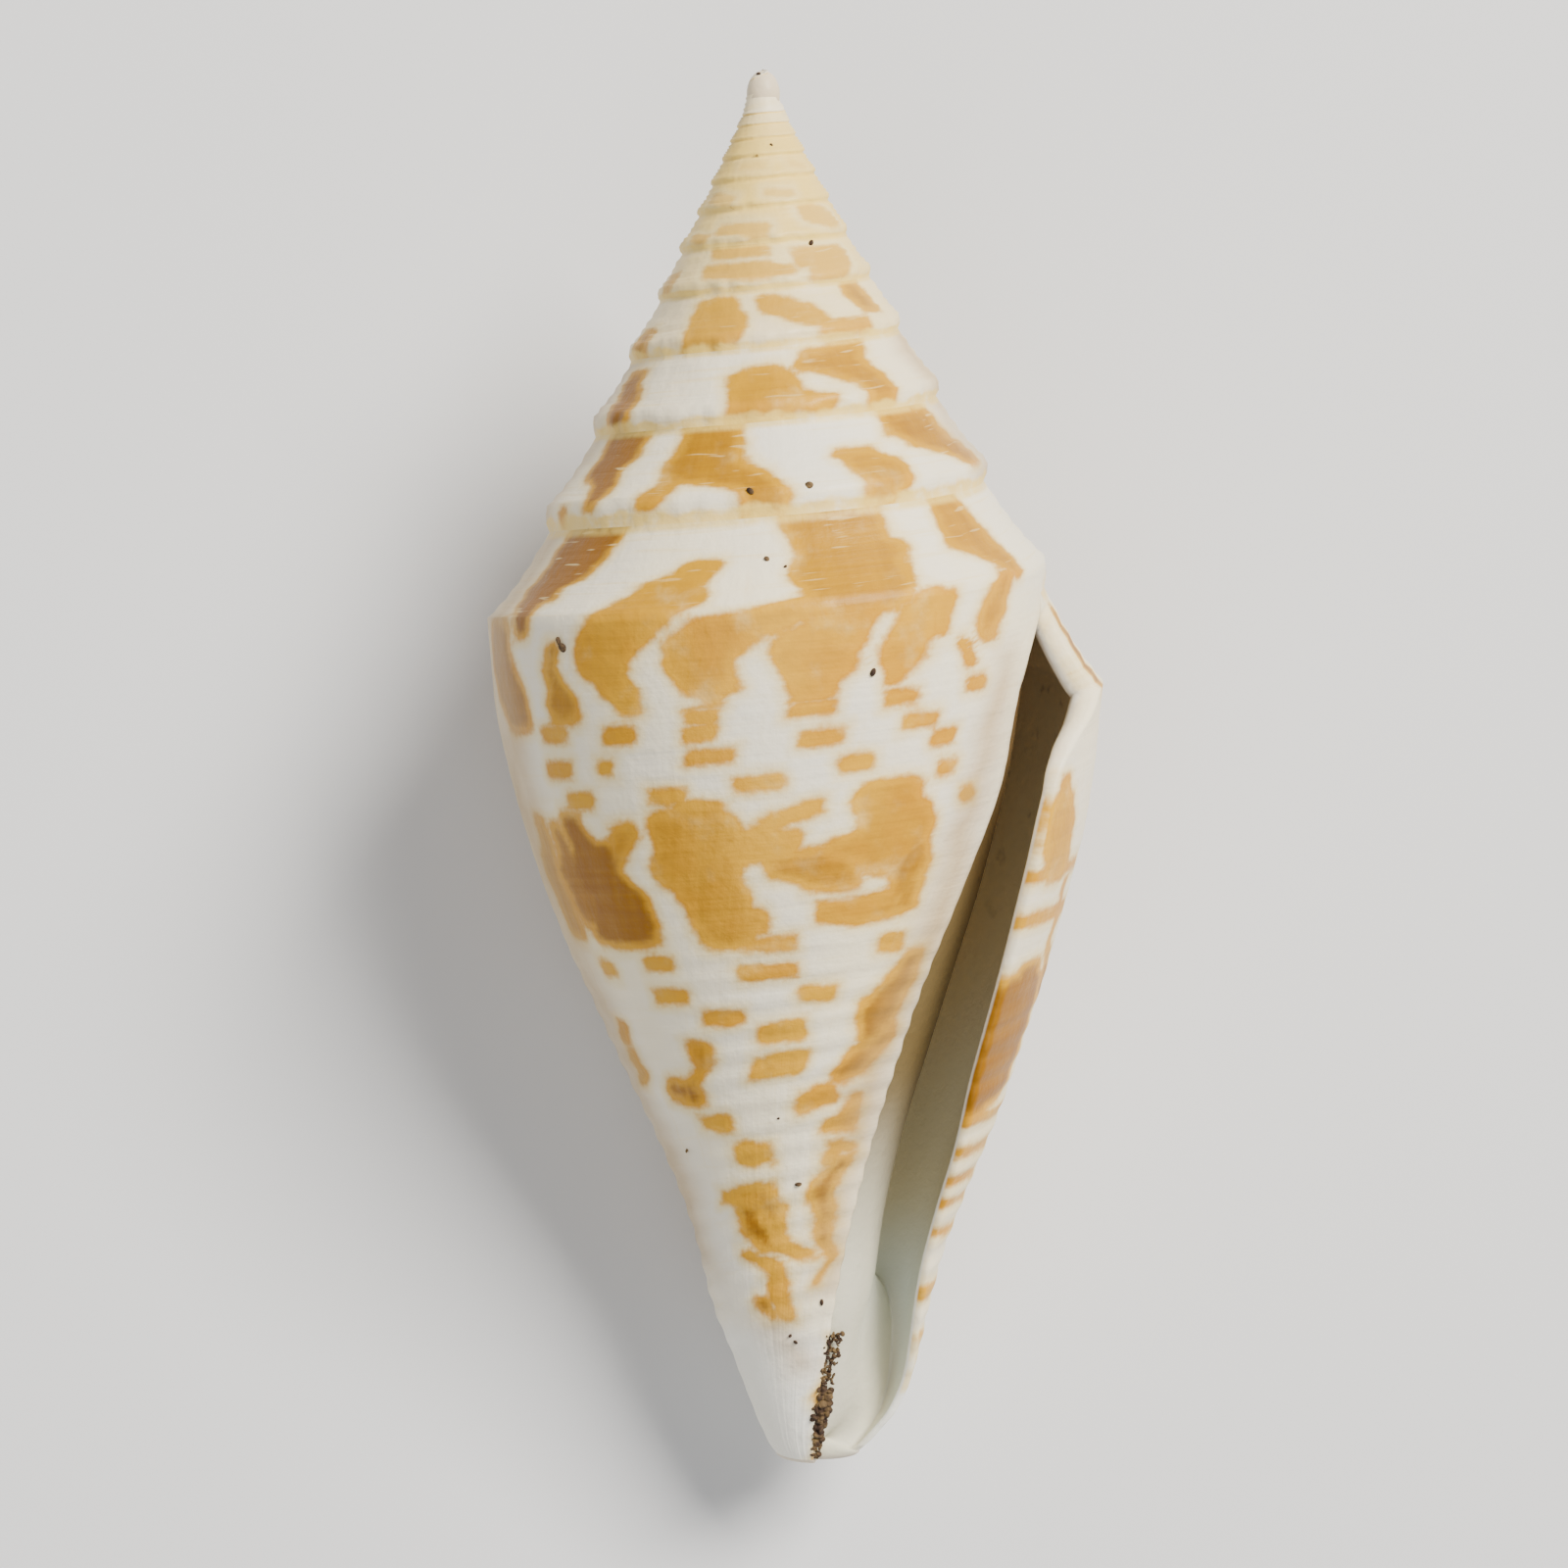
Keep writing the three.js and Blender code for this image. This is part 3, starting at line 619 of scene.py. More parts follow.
@dataclass
class ConeShell:
    """The whole shell: its outside, its lip and the inside of its mouth, as one closed skin."""

    growth: Growth
    resting: Resting
    columns: int = 240
    ramp_rows: int = 10
    step_rows: int = 3
    body_rows: int = 170
    tip_rows: int = 8
    tip_from: float = 1.022
    inward_steps: int = 40
    inward_turns: float = 0.26
    lip_wall: float = 0.27
    shoulder_wall: float = 0.55
    deep_wall: float = 0.62
    roof_wall: float = 0.5
    roof_wall_at_shoulder: float = 0.15
    inner_step: float = 0.25
    front_thinning: float = 0.6
    shoulder_reach: float = 0.13
    deepening_turns: float = 0.25
    tip_straightening: float = 30.0
    shortening: float = 70.0
    shortest: float = 0.8
    roof_thin_from: float = 0.8
    roof_reach: float = 0.16
    inner_top_share: float = 0.0625
    core_drop: float = 0.6
    core_turns: float = 0.3
    shift: Vector = field(default_factory=Vector)

    def outside(self, skin: Skin, markings: Markings) -> np.ndarray:
        """Adds the outside and returns the numbers of the points round the mouth, in order."""
        g = self.growth
        turn_columns = self.columns
        growth = TURN * (np.arange(g.whorls * turn_columns + 1) / turn_columns - g.whorls)
        grown = growth[:, None]
        out = np.linspace(0.0, 1.0, self.ramp_rows + 1)[None, :]
        radius, depth = g.ramp(grown, out)
        azimuth = grown + g.ramp_sheer(grown, out)
        ramp_points = g.place(azimuth, radius, depth)
        ramp_values = self.values(markings, azimuth, grown, out - 1.0, radius)
        numbers = np.zeros((len(growth), self.ramp_rows + self.step_rows + 1), int)
        tip = skin.add(np.zeros((1, 3)))[0]
        numbers[1:, 1 : self.ramp_rows + 1] = skin.add(ramp_points[1:, 1:])
        step = np.linspace(0.0, 1.0, self.step_rows + 1)[None, 1:]
        down = g.suture_at(grown) * step
        step_radius, step_depth = g.body(grown, down)
        open_turn = grown > -TURN * 1.000001
        step_azimuth = grown + np.where(open_turn, g.body_sheer(grown, down), math.radians(g.suture_sheer))
        numbers[1:, self.ramp_rows + 1 :] = skin.add(g.place(step_azimuth, step_radius, step_depth)[1:])
        numbers[turn_columns:, 0] = numbers[: len(growth) - turn_columns, -1]
        numbers[:turn_columns, 0] = tip
        numbers[0, :] = tip
        numbers[turn_columns, 0] = tip
        skin.sheet(numbers[:, : self.ramp_rows + 1], **ramp_values)
        step_all = np.concatenate([0.0 * grown, down], axis=1)
        azimuth_all = grown + np.where(open_turn, g.body_sheer(grown, step_all), math.radians(g.suture_sheer))
        radius_all, _ = g.body(grown, step_all)
        step_values = self.values(markings, azimuth_all, grown, step_all, radius_all)
        skin.sheet(numbers[:, self.ramp_rows :], **step_values)
        return self.body(skin, markings, growth[-turn_columns - 1 :], numbers)

    def values(self, markings: Markings, azimuth: np.ndarray, growth: np.ndarray, across: np.ndarray,
               radius: np.ndarray) -> dict[str, np.ndarray]:
        """The values that the skin carries on the outside.

        Args:
            markings: The marks to measure.
            azimuth: Each point's angle about the axis.
            growth: The growth angle it was laid down at.
            across: Its place across the whorl.
            radius: Its distance from the axis.

        Returns:
            The values by channel.
        """
        azimuth, growth, across, radius = np.broadcast_arrays(azimuth, growth, across, radius)
        gold, dark = markings.field(azimuth, growth, across, radius)
        shade_and_stain = markings.shade_and_stain(azimuth, growth, across, radius)
        run = self.growth.shoulder(growth)[0] * TURN / math.log(self.growth.whorl_growth)
        return {"turns": growth / TURN + self.growth.whorls, "across": across, "gold": gold, "dark": dark,
                "shade_and_stain": shade_and_stain, "rise": markings.rise(growth, across), "run": run}

    def body(self, skin: Skin, markings: Markings, growth: np.ndarray, numbers: np.ndarray) -> np.ndarray:
        """Adds the last whorl's body and front end.

        Args:
            skin: The mesh to add to.
            markings: The marks to measure.
            growth: The last turn's growth angles.
            numbers: The points' numbers on the ramps and steps.

        Returns:
            The numbers of the points round the mouth, in order.
        """
        g = self.growth
        grown = growth[:, None]
        share = np.linspace(0.0, 1.0, self.body_rows + 1)[None, :]
        down = mix(g.suture_at(grown), self.tip_from, share)
        azimuth = grown + g.body_sheer(grown, down)
        radius, depth = g.body(grown, down)
        body_numbers = np.zeros(down.shape, int)
        body_numbers[:, 0] = numbers[-len(growth) :, -1]
        body_numbers[:, 1:] = skin.add(g.place(azimuth, radius, depth)[:, 1:])
        skin.sheet(body_numbers, **self.values(markings, azimuth, grown, down, radius))
        angle = np.linspace(0.0, math.pi / 2.0, self.tip_rows + 1)[None, 1:-1]
        front = float(g.body(np.zeros(1), np.full(1, g.front_end))[1][0])
        tip_depth = mix(depth[:, -1:], front, np.sin(angle))
        tip_points = g.place(azimuth[:, -1:], radius[:, -1:] * np.cos(angle), tip_depth)
        tip_numbers = np.zeros((len(growth), self.tip_rows + 1), int)
        tip_numbers[:, 0] = body_numbers[:, -1]
        tip_numbers[:, 1:-1] = skin.add(tip_points)
        tip_numbers[:, -1] = skin.add(g.place(np.zeros(1), np.zeros(1), np.array([front])))[0]
        skin.sheet(tip_numbers, turns=np.broadcast_to(grown / TURN + g.whorls, tip_numbers.shape),
                   across=np.ones(tip_numbers.shape), gold=np.full(tip_numbers.shape, -0.6))
        lip = np.concatenate([numbers[-1], body_numbers[-1, 1:], tip_numbers[-1, 1:]])
        edge = np.concatenate([tip_numbers[0, -2::-1], body_numbers[0, -2:0:-1]])
        return np.concatenate([lip, edge])

    def wall(self, growth: float, down: np.ndarray) -> np.ndarray:
        """The outer wall's thickness."""
        thinning = mix(1.0, self.front_thinning, ease(down))
        thicker = (self.shoulder_wall - self.lip_wall) * (1.0 - ease(down / self.shoulder_reach))
        at_lip = self.lip_wall * thinning + thicker
        return mix(at_lip, self.deep_wall * thinning, ease(-growth / (self.deepening_turns * TURN)))

    def inside_loop(self, growth: float) -> np.ndarray:
        """One loop round the inside of the mouth, with as many points as the loop round its outside."""
        g = self.growth
        depth_in = ease(-growth / math.radians(self.tip_straightening))
        lowest = mix(1.0, self.shortest, ease(-growth / math.radians(self.shortening)))
        out = np.linspace(0.0, 1.0, self.ramp_rows + 1)
        radius, depth = g.ramp(np.full(out.shape, growth), out)
        inset = mix(self.inner_step, self.shoulder_wall, ease(out))
        under = mix(self.roof_wall, self.roof_wall_at_shoulder, ease(out / self.roof_thin_from))
        roof = g.place(growth + g.ramp_sheer(np.zeros(out.shape), out), radius - inset, depth + under)
        suture = float(g.suture_at(np.array(growth)))
        step = suture * np.linspace(0.0, 1.0, self.step_rows + 1)[1:]
        rows = mix(suture, self.tip_from, np.linspace(0.0, 1.0, self.body_rows + 1)[1:])
        down = np.concatenate([step, rows]) * lowest
        radius, depth = g.body(np.full(down.shape, growth), down)
        low = self.roof_wall_at_shoulder * (1.0 - ease(down / self.roof_reach))
        lip_azimuth = growth + g.body_sheer(np.zeros(down.shape), down)
        outer = g.place(lip_azimuth, radius - self.wall(growth, down), depth + low)
        older = growth - TURN
        top = float(g.suture_at(np.array(older))) + self.roof_wall * self.inner_top_share
        back = mix(top, self.tip_from, np.linspace(0.0, 1.0, self.body_rows + 1)[1:]) * lowest
        radius, depth = g.body(np.full(back.shape, older), back)
        deeper = self.core_drop * ease(-growth / (self.core_turns * TURN))
        drop = self.inner_step + deeper * radius / g.shoulder_radius
        inner = g.place(growth + g.body_sheer(np.full(back.shape, -TURN), back), radius - drop, depth)[::-1]
        middle = g.place(np.zeros(1), np.zeros(1), np.array([g.length]))[0]
        angle = np.linspace(0.0, 1.0, self.tip_rows + 1)[1:, None]
        near = np.concatenate([mix(outer[-1], middle, angle), mix(middle, inner[0], angle)[:-1]])
        straight = np.linspace(0.0, 1.0, 2 * self.tip_rows + 1)[1:-1, None]
        far = mix(outer[-1], inner[0], straight)
        return np.concatenate([roof, outer, mix(near, far, depth_in), inner])

    def inside(self, skin: Skin, rim: np.ndarray) -> None:
        """Adds the lip's edge and the inside of the mouth, and closes it far in.

        Args:
            skin: The mesh to add to.
            rim: The numbers of the points round the mouth, in order.
        """
        rim_points = np.concatenate(skin.points)[rim]
        first = self.inside_loop(0.0)
        forward = np.cross(np.roll(rim_points, -1, 0) - np.roll(rim_points, 1, 0), first - rim_points)
        forward /= np.maximum(np.linalg.norm(forward, axis=1, keepdims=True), 1e-9)
        thick = np.linalg.norm(first - rim_points, axis=1, keepdims=True)
        rings = [rim]
        for part, rise in ((0.18, 0.13), (0.5, 0.2), (0.82, 0.13)):
            rings.append(skin.add(mix(rim_points, first, part) - forward * thick * rise))
        for step in range(self.inward_steps + 1):
            growth = -self.inward_turns * TURN * (step / self.inward_steps) ** 1.3
            rings.append(skin.add(self.inside_loop(growth)))
        grid = np.array(rings)
        grid = np.concatenate([grid, grid[:, :1]], axis=1)
        edge_rings = 4
        around = np.linspace(0.0, 1.0, grid.shape[1])[None, :]
        edge = {name: np.append(value, value[0])[None, :] for name, value in skin.known(rim).items()}
        edge["around"], edge["inside"] = around, np.array([0.0, 0.12, 0.3, 1.0])[:, None]
        skin.sheet(grid[:edge_rings], **edge)
        inward = grid[edge_rings - 1 :]
        how_far = 1.0 + np.linspace(0.0, 1.0, len(inward))[:, None]
        skin.sheet(inward, turns=np.full(inward.shape, 13.0), gold=np.full(inward.shape, -0.6), around=around,
                   inside=how_far)
        last = grid[-1, :-1]
        centre = skin.add(np.concatenate(skin.points)[last].mean(axis=0)[None, :])[0]
        cap = np.stack([grid[-1], np.full(grid.shape[1], centre)])
        skin.sheet(cap, inside=np.full(cap.shape, 2.0), gold=np.full(cap.shape, -0.6))

    def build(self, markings: Markings) -> bpy.types.Object:
        """Builds the shell as one object that stands for the solid."""
        skin = Skin(("turns", "across", "rise", "run", "gold", "dark", "shade_and_stain", "inside", "around"))
        rim = self.outside(skin, markings)
        self.inside(skin, rim)
        low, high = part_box("shell")
        self.shift = self.resting.shift(np.concatenate(skin.points), low, high)
        mesh = skin.mesh("shell_skin", self.resting.turned(), self.shift)
        shell = bpy.data.objects.new("shell_skin", mesh)
        bpy.context.scene.collection.objects.link(shell)
        return shell


@dataclass(frozen=True)
class Tint:
    """A colour, by its red, green and blue as a screen shows them."""

    red: float
    green: float
    blue: float

    def linear(self) -> tuple[float, float, float, float]:
        """The colour in the linear values that materials use."""
        parts = np.array((self.red, self.green, self.blue))
        curved = ((parts + 0.055) / 1.055) ** 2.4
        return (*np.where(parts <= 0.04045, parts / 12.92, curved).tolist(), 1.0)


class Number:
    """A value inside a node tree. Arithmetic on it adds Math nodes to the tree."""

    def __init__(self, wiring: "Wiring", socket: bpy.types.NodeSocket) -> None:
        """Wraps an output socket."""
        self.wiring = wiring
        self.socket = socket

    def __add__(self, other: "Number | float") -> "Number":
        """The sum."""
        return self.wiring.maths("ADD", self, other)

    def __sub__(self, other: "Number | float") -> "Number":
        """The difference."""
        return self.wiring.maths("SUBTRACT", self, other)

    def __rsub__(self, other: float) -> "Number":
        """The difference, from a plain number."""
        return self.wiring.maths("SUBTRACT", other, self)

    def __mul__(self, other: "Number | float") -> "Number":
        """The product."""
        return self.wiring.maths("MULTIPLY", self, other)

    __radd__ = __add__
    __rmul__ = __mul__

    def __truediv__(self, other: "Number | float") -> "Number":
        """The quotient."""
        return self.wiring.maths("DIVIDE", self, other)

    def cosine(self) -> "Number":
        """The cosine."""
        return self.wiring.maths("COSINE", self)

    def span(self, low: "Number | float", high: "Number | float") -> "Number":
        """Goes smoothly from 0 at `low` to 1 at `high`."""
        made = self.wiring.node("ShaderNodeMapRange", {"interpolation_type": "SMOOTHSTEP"})
        for socket, item in zip(made.inputs, (self, low, high, 0.0, 1.0)):
            self.wiring.feed(socket, item)
        return Number(self.wiring, made.outputs[0])

    def hump(self, low: float, high: float, soft: float) -> "Number":
        """Is 1 between `low` and `high`, and falls to 0 over `soft` beyond them."""
        return self.span(low - soft, low) * (1.0 - self.span(high, high + soft))


class Wiring:
    """A node tree under construction, with short ways to add and join nodes."""

    def __init__(self, tree: bpy.types.NodeTree) -> None:
        """Starts on a tree."""
        self.tree = tree

    def node(self, kind: str, settings: dict[str, object] | None = None, **inputs: object) -> bpy.types.Node:
        """Adds a node.

        Args:
            kind: The node's type.
            settings: Properties of the node itself.
            inputs: Values or outputs for its inputs, by name with _ for a space.

        Returns:
            The new node.
        """
        made = self.tree.nodes.new(kind)
        for key, value in (settings or {}).items():
            setattr(made, key, value)
        for key, value in inputs.items():
            self.feed(made.inputs[key.replace("_", " ")], value)
        return made

    def feed(self, socket: bpy.types.NodeSocket, value: object) -> None:
        """Sets a socket, or joins an output to it."""
        if isinstance(value, Number):
            value = value.socket
        if isinstance(value, bpy.types.NodeSocket):
            self.tree.links.new(value, socket)
        elif isinstance(value, Tint):
            socket.default_value = value.linear()
        else:
            socket.default_value = value

    def maths(self, how: str, *values: object) -> Number:
        """Works out one number from others."""
        made = self.node("ShaderNodeMath", {"operation": how})
        for socket, value in zip(made.inputs, values):
            self.feed(socket, value)
        return Number(self, made.outputs[0])

    def vector(self, x: object, y: object, z: object = 0.0) -> bpy.types.NodeSocket:
        """Joins three numbers into a place."""
        return self.node("ShaderNodeCombineXYZ", X=x, Y=y, Z=z).outputs[0]

    def cloud(self, where: object, scale: float, detail: float = 3.0, rough: float = 0.55,
              seed: float = 0.0) -> Number:
        """A cloudy pattern about 0, mostly between -0.3 and 0.3.

        Args:
            where: The place it is read at.
            scale: How many clouds there are to one unit of that place.
            detail: How many finer layers it has.
            rough: How strong the finer layers are.
            seed: Which of the endless clouds it is.

        Returns:
            The pattern.
        """
        settings = {"noise_dimensions": "4D"}
        made = self.node("ShaderNodeTexNoise", settings, Vector=where, Scale=scale, Detail=detail,
                         Roughness=rough, W=seed)
        return Number(self, made.outputs[0]) - 0.5


class Surface(Wiring):
    """A material under construction."""

    def __init__(self, name: str) -> None:
        """Starts a new material with a bare Principled surface."""
        self.material = bpy.data.materials.new(name)
        self.material.use_nodes = True
        super().__init__(self.material.node_tree)
        self.shader = self.tree.nodes["Principled BSDF"]

    def set(self, **inputs: object) -> None:
        """Sets or joins the shader's own inputs, by name with _ for a space."""
        for name, value in inputs.items():
            self.feed(self.shader.inputs[name.replace("_", " ")], value)

    def value(self, name: str) -> Number:
        """Reads one of the skin's values."""
        return Number(self, self.node("ShaderNodeAttribute", {"attribute_name": name}).outputs["Fac"])

    def place(self) -> bpy.types.NodeSocket:
        """Where a point is on the object, in metres."""
        return self.node("ShaderNodeTexCoord").outputs["Object"]

    def blend(self, part: object, first: object, second: object) -> bpy.types.NodeSocket:
        """Mixes two colours."""
        made = self.node("ShaderNodeMix", {"data_type": "RGBA"})
        colours = [socket for socket in made.inputs if socket.type == "RGBA"]
        for socket, item in zip([made.inputs[0], *colours], (part, first, second)):
            self.feed(socket, item)
        return [socket for socket in made.outputs if socket.type == "RGBA"][0]

    def bump(self, height: Number, distance: float) -> None:
        """Roughens the surface by a height of so many metres."""
        made = self.node("ShaderNodeBump", Height=height, Distance=distance)
        self.feed(self.shader.inputs["Normal"], made.outputs[0])


class Sculpting(Wiring):
    """A Geometry Nodes tree with named inputs, put to work on one object and then made plain mesh."""

    def __init__(self, name: str) -> None:
        """Starts an empty tree that takes and gives geometry."""
        super().__init__(bpy.data.node_groups.new(name, "GeometryNodeTree"))
        self.tree.interface.new_socket("Geometry", in_out="INPUT", socket_type="NodeSocketGeometry")
        self.tree.interface.new_socket("Geometry", in_out="OUTPUT", socket_type="NodeSocketGeometry")
        self.entry = self.tree.nodes.new("NodeGroupInput")
        self.exit = self.tree.nodes.new("NodeGroupOutput")
        self.settings: dict[str, object] = {}

    def size(self, name: str, value: float) -> Number:
        """Adds a named size to the tree's inputs."""
        return Number(self, self.entry_socket(name, "NodeSocketFloat", value))

    def entry_socket(self, name: str, kind: str, value: object) -> bpy.types.NodeSocket:
        """Adds an input of any kind and keeps its value for the modifier.

        Args:
            name: The input's name.
            kind: The socket's type.
            value: What the modifier gives it.

        Returns:
            The input, as the tree's inside sees it.
        """
        made = self.tree.interface.new_socket(name, in_out="INPUT", socket_type=kind)
        self.settings[made.identifier] = value
        return self.entry.outputs[name]

    def attribute(self, name: str) -> Number:
        """Reads one of the mesh's values."""
        made = self.node("GeometryNodeInputNamedAttribute", {"data_type": "FLOAT"}, Name=name)
        return Number(self, made.outputs[0])

    def finish(self, geometry: bpy.types.NodeSocket, material: bpy.types.Material) -> None:
        """Makes the result real and gives it its material."""
        cover = self.entry_socket("Material", "NodeSocketMaterial", material)
        real = self.node("GeometryNodeRealizeInstances", Geometry=geometry)
        dressed = self.node("GeometryNodeSetMaterial", Geometry=real.outputs[0], Material=cover)
        self.feed(self.exit.inputs[0], dressed.outputs[0])

    def made_from(self, piece: bpy.types.Object) -> bpy.types.Object:
        """Runs the tree on an object and keeps the result as that object's plain mesh.

        Args:
            piece: The object, already in the scene.

        Returns:
            The same object.
        """
        modifier = piece.modifiers.new(self.tree.name, "NODES")
        modifier.node_group = self.tree
        for identifier, value in self.settings.items():
            modifier[identifier] = value
        graph = bpy.context.evaluated_depsgraph_get()
        result = bpy.data.meshes.new_from_object(piece.evaluated_get(graph), depsgraph=graph)
        piece.modifiers.remove(modifier)
        piece.data = result
        return piece


@dataclass(frozen=True)
class ShellFinish:
    """The shell's surface: white under golden and brown marks, creamy at the tip, with painted shade in brown
    in its mouth and seams and in pale brown down its sides.
    """

    white: Tint = Tint(0.985, 0.935, 0.81)
    cool: Tint = Tint(0.95, 0.925, 0.86)
    cream: Tint = Tint(0.95, 0.86, 0.62)
    old_cream: Tint = Tint(0.96, 0.82, 0.42)
    gold: Tint = Tint(0.86, 0.64, 0.15)
    honey: Tint = Tint(0.79, 0.54, 0.08)
    umber: Tint = Tint(0.56, 0.36, 0.0)
    # Pale brown: painted shade down the sides, also the colour of the few real stains.
    shade_and_stain_tan: Tint = Tint(0.72, 0.58, 0.36)
    # Painted shade inside the mouth's inner edge: green-brown, darker at the top, pale at the lower end.
    olive_shade: Tint = Tint(0.46, 0.39, 0.25)
    olive_shade_end: Tint = Tint(0.84, 0.82, 0.73)
    olive_shade_top: Tint = Tint(0.42, 0.33, 0.2)
    straw: Tint = Tint(0.86, 0.66, 0.14)
    ramp_honey: Tint = Tint(0.77, 0.56, 0.04)
    chalk: Tint = Tint(0.99, 0.975, 0.92)
    mouth_top: Tint = Tint(0.98, 0.86, 0.64)
    mouth_middle: Tint = Tint(0.94, 0.86, 0.66)
    mouth_low: Tint = Tint(0.9, 0.86, 0.72)
    mouth_end: Tint = Tint(0.9, 0.92, 0.87)
    lip: Tint = Tint(0.95, 0.94, 0.9)
    # Dark brown: painted small shadows in the seams, and painted shade with marks showing through at the
    # mouth's top.
    dirt_and_shade: Tint = Tint(0.35, 0.24, 0.12)

    def material(self) -> bpy.types.Material:
        """Builds the material."""
        w = Surface("shell_surface")
        place = w.place()
        across, rise, run, turns = (w.value(name) for name in ("across", "rise", "run", "turns"))
        weave = w.vector(run * 0.6, rise * 2.2)
        streaks = w.vector(run * 3.0, rise * 0.25)
        threads = w.vector(run * 0.3, rise * 6.0)
        wobble = w.cloud(weave, 1.3, 3.0)
        grain = w.cloud(place, 9000.0, 2.0)
        edge = w.value("gold") + wobble * 0.26 + grain * 0.1 - 0.015
        outer = self.outer_colour(w, place, turns, across, streaks)
        halo = edge.span(-0.26, 0.0) * 0.8
        inside = edge.span(-0.08, 0.08)
        thread = w.cloud(threads, 1.0, 2.0)
        streak = w.cloud(streaks, 1.0, 3.0)
        deep = w.value("dark") * edge.span(-0.02, 0.3) + thread * 0.35 + streak * 0.3
        rim = edge.hump(0.03, 0.07, 0.04) * 0.25
        honeyed = w.blend(w.cloud(place, 500.0).span(-0.12, 0.15) * 0.7 + rim, self.gold, self.honey)
        on_ramp = 1.0 - across.span(-0.15, 0.02)
        honeyed = w.blend(on_ramp * 0.8, honeyed, self.ramp_honey)
        mottle = w.cloud(place, 1300.0, 4.0, seed=12.0).span(0.02, 0.3)
        brown = w.blend(deep.span(0.12, 0.95), w.blend(mottle * 0.4, honeyed, self.cream), self.umber)
        brown = w.blend(1.0 - turns.span(6.0, 10.5), brown, self.straw)
        # Painted highlight: fine cream glints along the ramps' spiral lines, stronger on the dark marks.
        gleam = w.cloud(w.vector(run * 1.1, rise * 9.0), 1.0, 1.0).span(0.13, 0.2) * on_ramp
        brown = w.blend(gleam * (w.value("dark") * 0.4 + 0.15), brown, self.cream)
        strong = turns.span(3.0, 8.5) * 0.85 + 0.15 * turns.span(8.0, 10.0)
        bleached = across.span(0.85, 0.88) * (1.0 - w.value("dark").span(0.96, 0.99))
        faded = inside * strong * (1.0 - bleached)
        colour = w.blend(halo * turns.span(3.0, 8.0), outer, self.cream)
        colour = w.blend(faded, colour, brown)
        # Pale-brown painted shade down the left side and the spire's right edge; on the rest, stains.
        shaded_and_stained = w.value("shade_and_stain").span(-0.7, 0.4) * (w.cloud(place, 600.0) * 0.8 + 0.6)
        colour = w.blend(shaded_and_stained, colour, self.shade_and_stain_tan)
        step = (rise / run * 223.0 + w.cloud(place, 1500.0) * 1.2).span(0.45, 0.75)
        step = step * (1.0 - turns.span(11.98, 12.0))
        seam = (across.hump(-1.2, -0.97, 0.06) * 0.8 + step) * w.cloud(place, 2500.0).span(-0.3, 0.05)
        colour = w.blend(seam * 0.85, colour, self.old_cream)
        # Painted shade: small dark shadows among the lumps of the crumbly seams, stronger on the older
        # whorls.
        crumbs_and_shade = w.cloud(place, 4000.0, 3.0, seed=6.0).span(0.16, 0.26) * seam
        colour = w.blend(crumbs_and_shade * (0.4 + (1.0 - turns.span(7.0, 10.0)) * 0.4), colour, self.dirt_and_shade)
        inner = w.value("inside")
        outer_side = 1.0 - w.value("around").span(0.46, 0.5)
        lined = inner.span(0.3, 1.02) * outer_side + inner.span(0.02, 0.2) * (1.0 - outer_side)
        colour = w.blend(lined, colour, self.mouth_colour(w, place, inner))
        w.set(Base_Color=colour, Roughness=self.roughness(w, place, across, inner))
        w.set(Coat_Weight=0.05, Coat_Roughness=0.2, Specular_IOR_Level=0.2)
        w.bump(w.cloud(place, 5000.0, 4.0) * 0.5 + thread * 0.4 + streak * 0.3, 0.00004)
        return w.material

    def outer_colour(self, w: Surface, place: object, turns: Number, across: Number,
                     streaks: object) -> bpy.types.NodeSocket:
        """The ground colour outside, between the marks."""
        ground = w.blend(w.cloud(place, 260.0, 4.0).span(-0.15, 0.2), self.white, self.cool)
        ground = w.blend(w.cloud(streaks, 1.0, 3.0, seed=3.0).span(0.05, 0.3) * 0.35, ground, self.cream)
        threads = w.vector(w.value("run") * 0.35, w.value("rise") * 8.0)
        lines = w.cloud(threads, 1.0, 2.0, seed=8.0).span(0.06, 0.16)
        ground = w.blend(lines * (1.0 - across.span(-0.05, 0.03) * 0.7) * 0.4, ground, self.cream)
        young = (1.0 - turns.span(6.5, 11.5)) * w.cloud(place, 700.0, 3.0, seed=2.0).span(-0.4, -0.1)
        young = young * turns.span(0.0, 4.0)
        ground = w.blend(young * 0.9 + 0.05, ground, self.old_cream)
        chalk = (across + w.cloud(place, 900.0) * 0.05).span(0.84, 0.88)
        return w.blend(chalk, ground, self.chalk)

    def mouth_colour(self, w: Surface, place: object, inner: Number) -> bpy.types.NodeSocket:
        """The colour inside the mouth: white at the lip, green-brown painted shade inside its inner edge,
        browner at its top.
        """
        along = Number(w, w.node("ShaderNodeSeparateXYZ", Vector=place).outputs["Y"]) * 1000.0
        along = along + w.cloud(place, 300.0, 3.0) * 2.0
        colour = w.blend(along.span(-1.5, 3.0), self.mouth_middle, self.mouth_top)
        colour = w.blend(1.0 - along.span(-6.5, -2.0), colour, self.mouth_low)
        colour = w.blend(1.0 - along.span(-9.5, -7.0), colour, self.mouth_end)
        # Brown patches at the top of the mouth: painted shade, and the outer marks showing through the thin
        # wall.
        top_stain_and_shade = w.cloud(place, 1600.0, 3.0, seed=5.0).span(0.1, 0.25) * along.span(-4.0, 1.0)
        colour = w.blend(top_stain_and_shade * 0.6, colour, self.dirt_and_shade)
        outer_side = 1.0 - w.value("around").span(0.46, 0.5)
        near = 1.0 - inner.span(1.0, 1.1)
